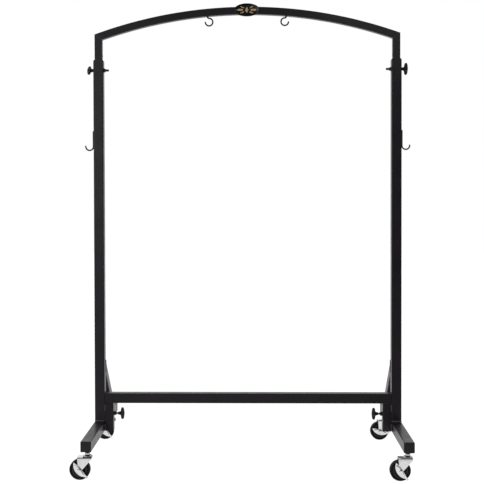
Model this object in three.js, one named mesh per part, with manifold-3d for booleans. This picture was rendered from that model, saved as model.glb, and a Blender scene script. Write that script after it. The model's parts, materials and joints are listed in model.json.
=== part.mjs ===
import * as THREE from "three";
import { mergeVertices } from "three/addons/utils/BufferGeometryUtils.js";
import Module from "manifold-3d";

// A rolling gong stand of square steel tube: two side frames on swivel casters, a crossbar that
// drops into sockets between them, and an arched top frame that telescopes in the uprights.
// Millimetres, +Z up, +X to the right, front towards -Y. The origin is on the floor, midway
// between the uprights.

const wasm = await Module();
wasm.setup();

// Driving sizes of the frame
const clearWidth = 1156;
const footTubeLength = 744;
const uprightLength = 1451;
const legExposed = 98.5;
const archRise = 102.5;
const socketLength = 112.5;
const wheelDiameter = 78;
const casterHeight = 112;

// Tube stock
const outerTube = 40;
const outerWall = 2;
const outerCorner = 3;
const innerTube = 30;
const innerWall = 2;
const innerCorner = 2.5;
const socketTube = 35;
const socketWall = 2;
const socketCorner = 2.5;

// Clearances
const seatGap = 0.3;
const slideGap = 0.3;
const runGap = 0.3;
const cutOverrun = 4;

// Brace behind each upright
const braceHeight = 243;
const braceReach = 274;

// Plastic cap in each end of a foot
const capFlange = 3;
const capBevel = 1.6;
const capPlugDepth = 14;
const capPlugWall = 2;

// Nylon bush in the mouth of each upright
const bushLength = 27;
const bushLipHeight = 6.7;
const bushLipInset = 0.6;
const bushLipTop = 3.2;

// Telescoping legs of the arch
const legInsertion = 343;
const raiseTravel = 250;
const lowerTravel = 34;
const legHoleRadius = 6;
const legHoleWeb = 10;

// Height bolts, their weld nuts and their place on the uprights
const heightBoltRadius = 5;
const heightBoltDrop = 34.5;
const heightBoltProud = 21;
const heightNutRadius = 10.8;
const heightNutWaist = 7.6;
const heightNutTip = 6.4;
const heightNutLength = 8;
const heightNutFlareShare = 0.4;

// Crossbar stubs and their clamp bolts
const stubLength = 92;
const clampDrop = 44;
const clampBoltRadius = 4;
const clampNutRadius = 8.5;
const clampNutLength = 10.6;
const clampNutShoulderShare = 0.45;
const clampBoltShown = 5.8;

// Two-winged clamping knob
const knobSpan = 48;
const knobLobe = 13;
const knobWaist = 10;
const knobDepth = 17.3;
const knobTipDepth = 11;
const knobHubLength = 9.5;
const knobHubTip = 5.8;
const knobHubRoot = 8.2;
const knobBoreDepth = 14;
const knobEdge = 1.5;
const boltChamfer = 1;

// Rest angles of the knobs, in degrees about the bolt
const heightKnobTurnLeft = 50;
const heightKnobTurnRight = 16;
const clampKnobTurnLeft = 6;
const clampKnobTurnRight = -4;

// Bent wire hooks
const hookWire = 6;
const gongHookSpacing = 304;
const gongHookRadius = 15;
const gongHookNeckBend = 6;
const gongHookEndDegrees = 355;
const malletHookDrop = 278.5;
const malletHookShank = 62.5;
const malletHookRadius = 15.5;
const malletHookTip = 4;

// Bare oval plate on the middle of the arch
const plateWidth = 104;
const plateHeight = 53;
const plateThickness = 5;
const plateRim = 3;
const plateRimProud = 0.8;
const plateLift = 1.5;

// Caster: place, stem and raceway
const casterInset = 42.5;
const casterTrail = 28.5;
const stemRadius = 5;
const stemEngagement = 25;
const stemBossRadius = 11.7;
const stemBossHeight = 10.5;
const stemBossBevel = 2;
const stemNeck = 1;
const stemNutFlats = 17;
const kingpinRadius = 6;
const kingpinHead = 9;
const kingpinHeadHeight = 3.5;
const raceRadius = 18.2;
const raceHeight = 5;
const raceWall = 2.7;
const raceBevel = 2;
const lowerRaceHeight = 3;

// Caster: stamped fork
const forkPlate = 2.5;
const forkGap = 34;
const forkBend = 5;
const crownClearance = 7;
const crownFront = 18;
const crownRear = 37;
const crownCorner = 3.5;
const crownSkirt = 7;
const legWaistHeight = 22;
const legWaistInset = 2.5;
const axleBoss = 7;

// Caster: wheel and axle
const tyreWidth = 28;
const tyreTread = 19;
const tyreShoulder = 1.6;
const tyreShoulderWidth = 3;
const tyreSide = 5;
const hubRimRadius = 27.2;
const hubRimHalf = 8.2;
const hubLipRadius = 29.2;
const hubLip = 2.8;
const hubWebHalf = 4;
const hubWellRadius = 22;
const hubBossRadius = 10;
const axleRadius = 4;
const axleHeadRadius = 7;
const axleHeadHeight = 4;

// Caster: brake lever, a lens of sheet steel with one tip bent in over the tread
const leverHalfLength = 36.5;
const leverBelly = 18;
const leverBack = 5.6;
const leverRise = 3.4;
const leverPlate = 2;
const leverEmboss = 1.2;
const leverEmbossShare = 0.68;
const leverTabWidth = 7;
const leverTabReach = 11;
const leverTabGap = 1.2;
const leverTabRoot = 6;

// Rest angles of each caster: the turn of the fork and the slope of the brake lever, in degrees
const swivelFrontLeft = 0.5;
const swivelFrontRight = -0.5;
const swivelRearLeft = 6;
const swivelRearRight = 4;
const leverSlopeFrontLeft = 49;
const leverSlopeFrontRight = 56;
const leverSlopeRearLeft = 50;
const leverSlopeRearRight = 16;

// How finely round forms are divided
const cornerSteps = 1;
const hexSides = 6;
const bevelSteps = 2;
const lobeSteps = 3;
const outlineSteps = 4;
const planSteps = 2;
const wireSides = 8;
const boltSides = 12;
const casterSides = 12;
const hubSides = 16;
const tyreSides = 24;
const plateSides = 24;
const archSteps = 16;
const gongHookSteps = 16;
const malletHookSteps = 12;
const mergeTolerance = 1e-4;

const quarterTurn = Math.PI / 2;
const halfTurn = Math.PI;
const fullTurn = Math.PI * 2;

// Heights and places that follow from the driving sizes
const uprightX = (clearWidth + outerTube) / 2;
const footTop = casterHeight + outerTube;
const uprightTop = footTop + uprightLength;
const crossbarBottom = casterHeight + socketLength;
const heightBoltZ = uprightTop - heightBoltDrop;
const clampBoltZ = crossbarBottom - clampDrop;
const cornerZ = uprightTop + legExposed;
const archRadius = (uprightX ** 2 + archRise ** 2) / (2 * archRise);
const archCentreZ = cornerZ + archRise - archRadius;
const archEndAngle = Math.asin(uprightX / archRadius);
const stemY = footTubeLength / 2 + capFlange - casterInset;
const outerBore = outerTube - 2 * outerWall;
const socketX = uprightX - outerTube / 2 - socketTube / 2;
const axleZ = wheelDiameter / 2;
const crownBottom = wheelDiameter + crownClearance;
const crownTop = crownBottom + forkPlate;
const forkHalf = forkGap / 2 + forkPlate;

// Finishes
const powderCoat = new THREE.MeshStandardMaterial({ color: 0x2c2b2d, roughness: 0.5, metalness: 0.2 });
const chromePlate = new THREE.MeshStandardMaterial({ color: 0xd9d9dc, roughness: 0.15, metalness: 1 });
const zincPlate = new THREE.MeshStandardMaterial({ color: 0x3a3a3c, roughness: 0.35, metalness: 0.8 });
const blackPlastic = new THREE.MeshStandardMaterial({ color: 0x1c1c1d, roughness: 0.45, metalness: 0 });
const blackNylon = new THREE.MeshStandardMaterial({ color: 0x161617, roughness: 0.6, metalness: 0 });
const blackRubber = new THREE.MeshStandardMaterial({ color: 0x1b1b1c, roughness: 0.75, metalness: 0 });
const glossBlack = new THREE.MeshStandardMaterial({ color: 0x0b0b0c, roughness: 0.12, metalness: 0.1 });

// Solids and geometries

// A closed geometry as a solid that can be joined and cut.
function solid(geometry) {
  const bare = geometry.clone();
  bare.deleteAttribute("normal");
  bare.deleteAttribute("uv");
  const merged = mergeVertices(bare, mergeTolerance);
  const corners = merged.index.array;
  const kept = [];
  for (let i = 0; i < corners.length; i += 3) {
    const [a, b, c] = [corners[i], corners[i + 1], corners[i + 2]];
    if (a !== b && b !== c && a !== c) kept.push(a, b, c);
  }
  const vertProperties = merged.attributes.position.array;
  return new wasm.Manifold(
    new wasm.Mesh({ numProp: 3, vertProperties, triVerts: new Uint32Array(kept) }),
  );
}

// The surface of a solid as a geometry.
function surface(body) {
  const made = body.getMesh();
  const geometry = new THREE.BufferGeometry();
  geometry.setAttribute("position", new THREE.BufferAttribute(made.vertProperties, made.numProp));
  geometry.setIndex(new THREE.BufferAttribute(made.triVerts, 1));
  geometry.computeVertexNormals();
  return geometry;
}

function join(first, ...others) {
  return others.reduce((sum, next) => sum.add(next), first);
}

function cut(body, ...tools) {
  return tools.reduce((rest, tool) => rest.subtract(tool), body);
}

function piece(name, geometry, material) {
  const mesh = new THREE.Mesh(geometry, material);
  mesh.name = name;
  return mesh;
}

function sideName(side) {
  return side < 0 ? "left" : "right";
}

// A square with rounded corners about the origin, drawn on a shape or a hole.
function roundedSquare(path, width, radius) {
  const flat = width / 2 - radius;
  path.absarc(flat, flat, radius, 0, quarterTurn);
  path.absarc(-flat, flat, radius, quarterTurn, halfTurn);
  path.absarc(-flat, -flat, radius, halfTurn, halfTurn + quarterTurn);
  path.absarc(flat, -flat, radius, halfTurn + quarterTurn, fullTurn);
  path.closePath();
  return path;
}

function tubeSection(width, wall, corner) {
  const section = roundedSquare(new THREE.Shape(), width, corner);
  section.holes.push(roundedSquare(new THREE.Path(), width - 2 * wall, corner - wall));
  return section;
}

function extruded(shape, depth, curveSegments = cornerSteps) {
  return new THREE.ExtrudeGeometry(shape, { depth, bevelEnabled: false, curveSegments });
}

function squareTube(width, wall, corner, length) {
  return extruded(tubeSection(width, wall, corner), length);
}

function squareBar(width, corner, length) {
  return extruded(roundedSquare(new THREE.Shape(), width, corner), length);
}

// Turns an extrusion from +Z to +X: its drawing then lies in the Y-Z plane.
function alongX(geometry) {
  return geometry.rotateX(quarterTurn).rotateZ(quarterTurn);
}

// Turns an extrusion centred on its length from Z to Y: its drawing then lies in the X-Z plane.
function alongY(geometry, depth) {
  return geometry.translate(0, 0, -depth / 2).rotateX(quarterTurn);
}

// A solid of revolution about Z from [radius, height] pairs, which start and end on the axis or
// close on themselves. Flats, not corners, face along Y.
function turned(profile, sides) {
  const points = profile.map(([radius, height]) => new THREE.Vector2(radius, height));
  return new THREE.LatheGeometry(points, sides, halfTurn / sides, fullTurn).rotateX(quarterTurn);
}

function roundBar(radius, length, sides) {
  return turned([[0, 0], [radius, 0], [radius, length], [0, length]], sides);
}

// A wire of round section along a curve, with flat ends.
function wire(curve, diameter, steps) {
  const section = new THREE.Shape();
  for (let i = 0; i < wireSides; i += 1) {
    const angle = (i * fullTurn) / wireSides;
    const [across, up] = [(diameter / 2) * Math.cos(angle), (diameter / 2) * Math.sin(angle)];
    if (i === 0) section.moveTo(across, up);
    else section.lineTo(across, up);
  }
  section.closePath();
  return new THREE.ExtrudeGeometry(section, { steps, extrudePath: curve, bevelEnabled: false });
}

// An arc in the X-Z plane, from one angle to another, both measured from +X towards +Z.
class UprightArc extends THREE.Curve {
  constructor(centreX, centreZ, radius, from, to) {
    super();
    Object.assign(this, { centreX, centreZ, radius, from, to });
  }

  getPoint(t, target = new THREE.Vector3()) {
    const angle = this.from + (this.to - this.from) * t;
    const x = this.centreX + this.radius * Math.cos(angle);
    const z = this.centreZ + this.radius * Math.sin(angle);
    return target.set(x, 0, z);
  }
}

function straight(x0, z0, x1, z1) {
  return new THREE.LineCurve3(new THREE.Vector3(x0, 0, z0), new THREE.Vector3(x1, 0, z1));
}

function route(...curves) {
  const path = new THREE.CurvePath();
  curves.forEach((curve) => path.add(curve));
  return path;
}

function degrees(value) {
  return THREE.MathUtils.degToRad(value);
}

// Side frames

// An upright is open at the top, where the arch leg slides in, and drilled for the height bolt.
function upright(side) {
  const tube = solid(squareTube(outerTube, outerWall, outerCorner, uprightLength));
  const hole = roundBar(heightBoltRadius + runGap, outerTube + 2 * cutOverrun, boltSides);
  alongX(hole).translate(-outerTube / 2 - cutOverrun, 0, heightBoltZ - footTop);
  const mesh = piece("upright_" + sideName(side), surface(cut(tube, solid(hole))), powderCoat);
  mesh.position.set(side * uprightX, 0, footTop);
  return mesh;
}

// A foot carries a boss for a caster stem near each end.
function foot(side) {
  const tube = squareTube(outerTube, outerWall, outerCorner, footTubeLength);
  let body = solid(alongY(tube, footTubeLength));
  const bottom = -outerTube / 2;
  for (const end of [-1, 1]) {
    const rim = [
      [0, 0],
      [stemBossRadius - stemBossBevel, 0],
      [stemBossRadius, stemBossBevel],
      [stemBossRadius, stemBossHeight + outerWall / 2],
      [0, stemBossHeight + outerWall / 2],
    ];
    const boss = turned(rim, casterSides);
    boss.translate(0, end * stemY, bottom - stemBossHeight);
    const bore = roundBar(stemRadius + seatGap, stemBossHeight + outerWall + 2 * cutOverrun, casterSides);
    bore.translate(0, end * stemY, bottom - stemBossHeight - cutOverrun);
    body = cut(join(body, solid(boss)), solid(bore));
  }
  const mesh = piece("foot_" + sideName(side), surface(body), powderCoat);
  mesh.position.set(side * uprightX, 0, casterHeight + outerTube / 2);
  return mesh;
}

// A brace runs down from the back of the upright to the top of the foot, mitred at both ends.
function brace(side) {
  const slope = Math.atan2(braceHeight, braceReach);
  const overlap = 2 * outerTube;
  const length = Math.hypot(braceHeight, braceReach) + 2 * overlap;
  const tube = squareTube(outerTube, outerWall, outerCorner, length);
  tube.translate(0, outerTube / 2, -overlap).rotateX(-quarterTurn - slope);
  tube.translate(0, outerTube / 2, footTop + braceHeight);
  const block = 4 * overlap + length;
  const frontFace = new THREE.BoxGeometry(block, block, block);
  frontFace.translate(0, outerTube / 2 + seatGap - block / 2, footTop);
  const footFace = new THREE.BoxGeometry(block, block, block);
  footFace.translate(0, 0, footTop + seatGap - block / 2);
  const body = cut(solid(tube), solid(frontFace), solid(footFace));
  const mesh = piece("brace_" + sideName(side), surface(body), powderCoat);
  mesh.position.set(side * uprightX, 0, 0);
  return mesh;
}

// A socket is welded inboard of the upright and the foot and drilled for the clamp bolt.
function socket(side) {
  const tube = solid(squareTube(socketTube, socketWall, socketCorner, socketLength));
  const hole = roundBar(clampBoltRadius + runGap, socketWall + 2 * cutOverrun, boltSides);
  alongX(hole).translate(socketTube / 2 - socketWall - cutOverrun, 0, clampBoltZ - casterHeight);
  hole.rotateZ(side < 0 ? 0 : halfTurn);
  const mesh = piece("crossbar_socket_" + sideName(side), surface(cut(tube, solid(hole))), powderCoat);
  mesh.position.set(side * socketX, 0, casterHeight);
  return mesh;
}

// A cap closes each end of a foot: a bevelled flange over the tube and a hollow plug inside it.
function footCap(side, end) {
  const face = roundedSquare(new THREE.Shape(), outerTube, outerCorner);
  const flange = new THREE.ExtrudeGeometry(face, {
    depth: capFlange - capBevel,
    bevelEnabled: true,
    bevelThickness: capBevel,
    bevelSize: capBevel,
    bevelOffset: -capBevel,
    bevelSegments: bevelSteps,
    curveSegments: cornerSteps,
  });
  const under = new THREE.BoxGeometry(2 * outerTube, 2 * outerTube, 2 * capBevel);
  under.translate(0, 0, -capBevel);
  const plugWidth = outerBore - 2 * seatGap;
  const plug = squareTube(plugWidth, capPlugWall, capPlugWall + seatGap, capPlugDepth + capBevel);
  plug.translate(0, 0, -capPlugDepth);
  const back = squareBar(outerTube, outerCorner, capFlange - capBevel);
  const body = join(cut(solid(flange), solid(under)), solid(back), solid(plug));
  const name = "foot_cap_" + (end < 0 ? "front_" : "rear_") + sideName(side);
  const mesh = piece(name, surface(body), blackPlastic);
  mesh.rotation.x = -end * quarterTurn;
  mesh.position.set(side * uprightX, end * (footTubeLength / 2), casterHeight + outerTube / 2);
  return mesh;
}

// A bush lines the mouth of the upright and guides the arch leg. Its lip sits on the rim and
// slopes in to the leg.
function sleeveBush(side) {
  const liningWidth = outerBore - 2 * seatGap;
  const lining = squareBar(liningWidth, outerCorner - outerWall, bushLength + bushLipHeight / 2);
  lining.translate(0, 0, -bushLength);
  const lipWidth = outerTube - 2 * bushLipInset;
  const lipFlat = bushLipHeight - bushLipTop;
  const lip = squareBar(lipWidth, outerCorner, lipFlat).translate(0, 0, seatGap);
  const outline = roundedSquare(new THREE.Shape(), lipWidth, outerCorner);
  const slope = new THREE.ExtrudeGeometry(outline, {
    depth: lipFlat / 2,
    bevelEnabled: true,
    bevelThickness: bushLipTop,
    bevelSize: bushLipTop,
    bevelOffset: -bushLipTop,
    bevelSegments: cornerSteps,
    curveSegments: cornerSteps,
  });
  slope.translate(0, 0, seatGap + lipFlat / 2);
  const under = new THREE.BoxGeometry(2 * outerTube, 2 * outerTube, 2 * bushLipTop);
  under.translate(0, 0, seatGap + lipFlat / 2 - bushLipTop);
  const passageLength = bushLength + bushLipHeight + 2 * cutOverrun;
  const passage = squareBar(innerTube + 2 * slideGap, innerCorner, passageLength);
  passage.translate(0, 0, -bushLength - cutOverrun);
  const collar = join(cut(solid(slope), solid(under)), solid(lip));
  const body = cut(join(solid(lining), collar), solid(passage));
  const mesh = piece("sleeve_bush_" + sideName(side), surface(body), blackNylon);
  mesh.position.set(side * uprightX, 0, uprightTop);
  return mesh;
}

// A weld nut, a cone on the inner face of the upright, takes the thread of the height bolt.
function heightNut(side) {
  const bore = heightBoltRadius + runGap;
  const ring = [
    [bore, 0],
    [heightNutRadius, 0],
    [heightNutWaist, heightNutLength * heightNutFlareShare],
    [heightNutTip, heightNutLength],
    [bore, heightNutLength],
    [bore, 0],
  ];
  const nut = alongX(turned(ring, boltSides)).rotateZ(side < 0 ? 0 : halfTurn);
  const mesh = piece("height_nut_" + sideName(side), nut, powderCoat);
  mesh.position.set(side * (uprightX - outerTube / 2 - seatGap), 0, heightBoltZ);
  return mesh;
}

// A domed weld nut on the socket takes the thread of the clamp bolt.
function clampNut(side) {
  const bore = clampBoltRadius + runGap;
  const shoulder = clampNutLength * clampNutShoulderShare;
  const crown = (clampNutRadius + bore) / 2 + runGap;
  const ring = [
    [bore, 0],
    [clampNutRadius, 0],
    [clampNutRadius, shoulder],
    [crown, clampNutLength],
    [bore, clampNutLength],
    [bore, 0],
  ];
  const nut = alongX(turned(ring, boltSides)).rotateZ(side < 0 ? 0 : halfTurn);
  const mesh = piece("clamp_nut_" + sideName(side), nut, powderCoat);
  mesh.position.set(side * (socketX - socketTube / 2 - seatGap), 0, clampBoltZ);
  return mesh;
}

// A J of wire on the outer face of each upright holds a mallet.
function malletHook(side) {
  const shankX = uprightX + outerTube / 2 + seatGap + hookWire / 2;
  const top = uprightTop - malletHookDrop;
  const bendZ = top - malletHookShank;
  const centreX = shankX + malletHookRadius;
  const tipX = centreX + malletHookRadius;
  const path = route(
    straight(side * shankX, top, side * shankX, bendZ),
    side < 0
      ? new UprightArc(-centreX, bendZ, malletHookRadius, 0, -halfTurn)
      : new UprightArc(centreX, bendZ, malletHookRadius, halfTurn, fullTurn),
    straight(side * tipX, bendZ, side * tipX, bendZ + malletHookTip),
  );
  return piece("mallet_hook_" + sideName(side), wire(path, hookWire, malletHookSteps), powderCoat);
}

// Crossbar

// The crossbar lies on the sockets, with a stub of the inner tube welded under each end.
function crossbar() {
  const length = clearWidth - 2 * seatGap;
  const bar = alongX(squareTube(outerTube, outerWall, outerCorner, length));
  bar.translate(-length / 2, 0, crossbarBottom + seatGap + outerTube / 2);
  const weldDepth = outerWall / 2;
  const stubs = [-1, 1].map((side) => {
    const stub = squareTube(innerTube, innerWall, innerCorner, stubLength + weldDepth);
    return solid(stub.translate(side * socketX, 0, crossbarBottom + seatGap - stubLength));
  });
  return piece("crossbar", surface(join(solid(bar), ...stubs)), powderCoat);
}

// Arched top frame

// A block that trims a tube at the mitre of one corner of the arch: it removes what lies beyond
// the mitre for the arch, and what lies before it for the leg.
function mitreBlock(side, beyond) {
  const block = archRadius;
  const shape = new THREE.BoxGeometry(block, block, block);
  shape.translate(beyond * (block / 2 - seatGap / 2), 0, 0);
  const tilt = quarterTurn / 2 + archEndAngle / 2;
  shape.rotateY(tilt).rotateZ(side < 0 ? halfTurn : 0);
  return solid(shape.translate(side * uprightX, 0, cornerZ));
}

function archTube() {
  const spare = innerTube / archRadius;
  const reach = archEndAngle + 2 * spare;
  const curve = new UprightArc(0, archCentreZ, archRadius, quarterTurn + reach, quarterTurn - reach);
  const section = tubeSection(innerTube, innerWall, innerCorner);
  const options = { steps: archSteps, extrudePath: curve, bevelEnabled: false, curveSegments: cornerSteps };
  const tube = solid(new THREE.ExtrudeGeometry(section, options));
  return piece("arch_tube", surface(cut(tube, mitreBlock(-1, 1), mitreBlock(1, 1))), powderCoat);
}

// A leg telescopes in its upright. A long slot through both side walls lets the height bolt pass as
// the leg slides, and a round hole above the slot takes the bolt at the lowest setting.
function archLeg(side) {
  const bottom = uprightTop - legInsertion;
  const length = cornerZ + innerTube - bottom;
  const tube = squareTube(innerTube, innerWall, innerCorner, length);
  tube.translate(side * uprightX, 0, bottom);
  const depth = innerTube + 2 * cutOverrun;
  const drawn = new THREE.Shape();
  drawn.absarc(0, heightBoltZ + lowerTravel, legHoleRadius, 0, halfTurn);
  drawn.absarc(0, heightBoltZ - raiseTravel, legHoleRadius, halfTurn, fullTurn);
  drawn.closePath();
  const slot = alongX(extruded(drawn, depth, lobeSteps));
  slot.translate(side * uprightX - depth / 2, 0, 0);
  const hole = alongX(roundBar(legHoleRadius, depth, boltSides));
  const holeZ = heightBoltZ + lowerTravel + 2 * legHoleRadius + legHoleWeb;
  hole.translate(side * uprightX - depth / 2, 0, holeZ);
  const body = cut(solid(tube), solid(slot), solid(hole), mitreBlock(side, -1));
  return piece("arch_leg_" + sideName(side), surface(body), powderCoat);
}

// A bare oval plate with a raised rim and a low dome, on the front of the arch.
function badgePlate() {
  const half = plateWidth / 2;
  const edge = plateThickness / 2;
  const profile = [
    [0, 0],
    [half - edge / 2, 0],
    [half, edge / 2],
    [half, edge],
    [half - plateRim / 2, edge + plateRimProud],
    [half - plateRim, edge],
    [half / 2, plateThickness - edge / 4],
    [0, plateThickness],
  ];
  const plate = turned(profile, plateSides).scale(1, plateHeight / plateWidth, 1).rotateX(quarterTurn);
  const mesh = piece("badge_plate", plate, glossBlack);
  const apexZ = archCentreZ + archRadius;
  mesh.position.set(0, -innerTube / 2 - seatGap, apexZ + plateLift);
  return mesh;
}

// A gong hook is a wire welded under the arch, curled round and open to the outside.
function gongHook(side) {
  const centreX = gongHookSpacing / 2;
  const neckX = centreX + gongHookNeckBend;
  const underside = archRadius - innerTube / 2;
  const archUnder = archCentreZ + Math.sqrt(underside ** 2 - (neckX + hookWire / 2) ** 2);
  const neckTop = archUnder - seatGap;
  const neckBottom = neckTop - seatGap;
  const loopTop = neckBottom - gongHookNeckBend;
  const centreZ = loopTop - gongHookRadius;
  const loopEnd = degrees(gongHookEndDegrees);
  const bendZ = loopTop + gongHookNeckBend;
  const path = side < 0
    ? route(
        straight(-neckX, neckTop, -neckX, neckBottom),
        new UprightArc(-centreX, bendZ, gongHookNeckBend, halfTurn, halfTurn + quarterTurn),
        new UprightArc(-centreX, centreZ, gongHookRadius, quarterTurn, halfTurn - loopEnd),
      )
    : route(
        straight(neckX, neckTop, neckX, neckBottom),
        new UprightArc(centreX, bendZ, gongHookNeckBend, 0, -quarterTurn),
        new UprightArc(centreX, centreZ, gongHookRadius, quarterTurn, loopEnd),
      );
  return piece("gong_hook_" + sideName(side), wire(path, hookWire, gongHookSteps), powderCoat);
}

// Knobs

// The grip of a knob on +X from the origin: a neck that widens from the tube, and two wings that
// narrow from the hub and end in round lobes.
function knobGrip(boltRadius) {
  const outer = knobHubLength + knobDepth;
  const half = knobSpan / 2;
  const crown = (knobDepth - knobTipDepth) / 2;
  const spindle = new THREE.Shape();
  spindle.moveTo(knobHubLength, knobHubRoot);
  spindle.lineTo(knobHubLength, -knobHubRoot);
  spindle.lineTo(knobHubLength + crown, -half + knobEdge);
  spindle.lineTo(knobHubLength + crown + knobEdge, -half);
  spindle.lineTo(outer - crown - knobEdge, -half);
  spindle.lineTo(outer - crown, -half + knobEdge);
  spindle.lineTo(outer, -knobHubRoot);
  spindle.lineTo(outer, knobHubRoot);
  spindle.lineTo(outer - crown, half - knobEdge);
  spindle.lineTo(outer - crown - knobEdge, half);
  spindle.lineTo(knobHubLength + crown + knobEdge, half);
  spindle.lineTo(knobHubLength + crown, half - knobEdge);
  spindle.closePath();
  const slab = solid(alongY(extruded(spindle, knobLobe), knobLobe));
  const lobeRadius = knobLobe / 2;
  const lobeCentre = half - lobeRadius;
  const wings = new THREE.Shape();
  wings.absarc(0, lobeCentre, lobeRadius, 0, halfTurn);
  wings.lineTo(-knobWaist / 2, knobHubRoot);
  wings.lineTo(-knobWaist / 2, -knobHubRoot);
  wings.absarc(0, -lobeCentre, lobeRadius, halfTurn, fullTurn);
  wings.lineTo(knobWaist / 2, -knobHubRoot);
  wings.lineTo(knobWaist / 2, knobHubRoot);
  wings.closePath();
  const outline = solid(alongX(extruded(wings, outer, lobeSteps)));
  const neck = [
    [0, 0],
    [knobHubTip, 0],
    [knobHubRoot, knobHubLength],
    [knobHubRoot, outer],
    [0, outer],
  ];
  const hub = solid(alongX(turned(neck, boltSides)));
  const bore = alongX(roundBar(boltRadius + seatGap, knobBoreDepth + cutOverrun, boltSides));
  bore.translate(-cutOverrun, 0, 0);
  return surface(cut(join(slab.intersect(outline), hub), solid(bore)));
}

// A bolt set in the knob: it starts in the knob's bore and runs towards -X with a chamfered end.
function knobBolt(radius, reach) {
  const head = knobBoreDepth - seatGap;
  const profile = [
    [0, -reach],
    [radius - boltChamfer, -reach],
    [radius, boltChamfer - reach],
    [radius, head],
    [0, head],
  ];
  return alongX(turned(profile, boltSides));
}

// A knob with its bolt, pointing away from the face it presses on. Facing is +1 where the grip
// looks along +X and -1 where it looks along -X.
function knob(prefix, side, facing, radius, reach, faceX, z, turn) {
  const group = new THREE.Group();
  const grip = piece(prefix + "_knob_" + sideName(side), knobGrip(radius), blackPlastic);
  grip.rotation.x = degrees(turn);
  group.add(grip);
  group.add(piece(prefix + "_bolt_" + sideName(side), knobBolt(radius, reach), zincPlate));
  group.rotation.z = facing < 0 ? halfTurn : 0;
  group.position.set(faceX, 0, z);
  return group;
}

function heightKnob(side, turn) {
  const faceX = side * (uprightX + outerTube / 2 + seatGap);
  const reach = seatGap + outerTube + heightBoltProud;
  return knob("height", side, side, heightBoltRadius, reach, faceX, heightBoltZ, turn);
}

function clampKnob(side, turn) {
  const stubFace = socketX - innerTube / 2 - seatGap;
  const faceX = socketX - socketTube / 2 - seatGap - clampNutLength - clampBoltShown;
  return knob("clamp", side, -side, clampBoltRadius, stubFace - faceX, side * faceX, clampBoltZ, turn);
}

// Casters

// The stem holds the caster in the foot: threaded stud, hex nut, upper race, and a kingpin whose
// head keeps the fork on.
function casterStem(name) {
  const raceBottom = crownTop + seatGap * 2;
  const raceTop = raceBottom + raceHeight;
  const ballTop = crownTop + lowerRaceHeight + runGap;
  const headTop = crownBottom - runGap;
  const stemTop = casterHeight + stemEngagement;
  const profile = [
    [0, headTop - kingpinHeadHeight],
    [kingpinHead, headTop - kingpinHeadHeight],
    [kingpinHead, headTop],
    [kingpinRadius, headTop],
    [kingpinRadius, ballTop],
    [raceRadius - raceWall, ballTop],
    [raceRadius - raceWall, raceBottom],
    [raceRadius, raceBottom],
    [raceRadius, raceTop - raceBevel],
    [raceRadius - raceBevel, raceTop],
    [stemRadius, raceTop],
    [stemRadius, stemTop],
    [0, stemTop],
  ];
  const nutHeight = casterHeight - stemBossHeight - stemNeck - raceTop;
  const nutRadius = stemNutFlats / 2 / Math.cos(halfTurn / hexSides);
  const nut = roundBar(nutRadius, nutHeight + raceBevel, hexSides).translate(0, 0, raceTop - raceBevel);
  return piece(name, surface(join(solid(turned(profile, casterSides)), solid(nut))), chromePlate);
}

// The angle at which a line from a point touches a circle, on the chosen hand.
function touchAngle(centreX, centreZ, radius, pointX, pointZ, hand) {
  const distance = Math.hypot(pointX - centreX, pointZ - centreZ);
  const aim = Math.atan2(pointZ - centreZ, pointX - centreX);
  return aim + hand * Math.acos(radius / distance);
}

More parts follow.
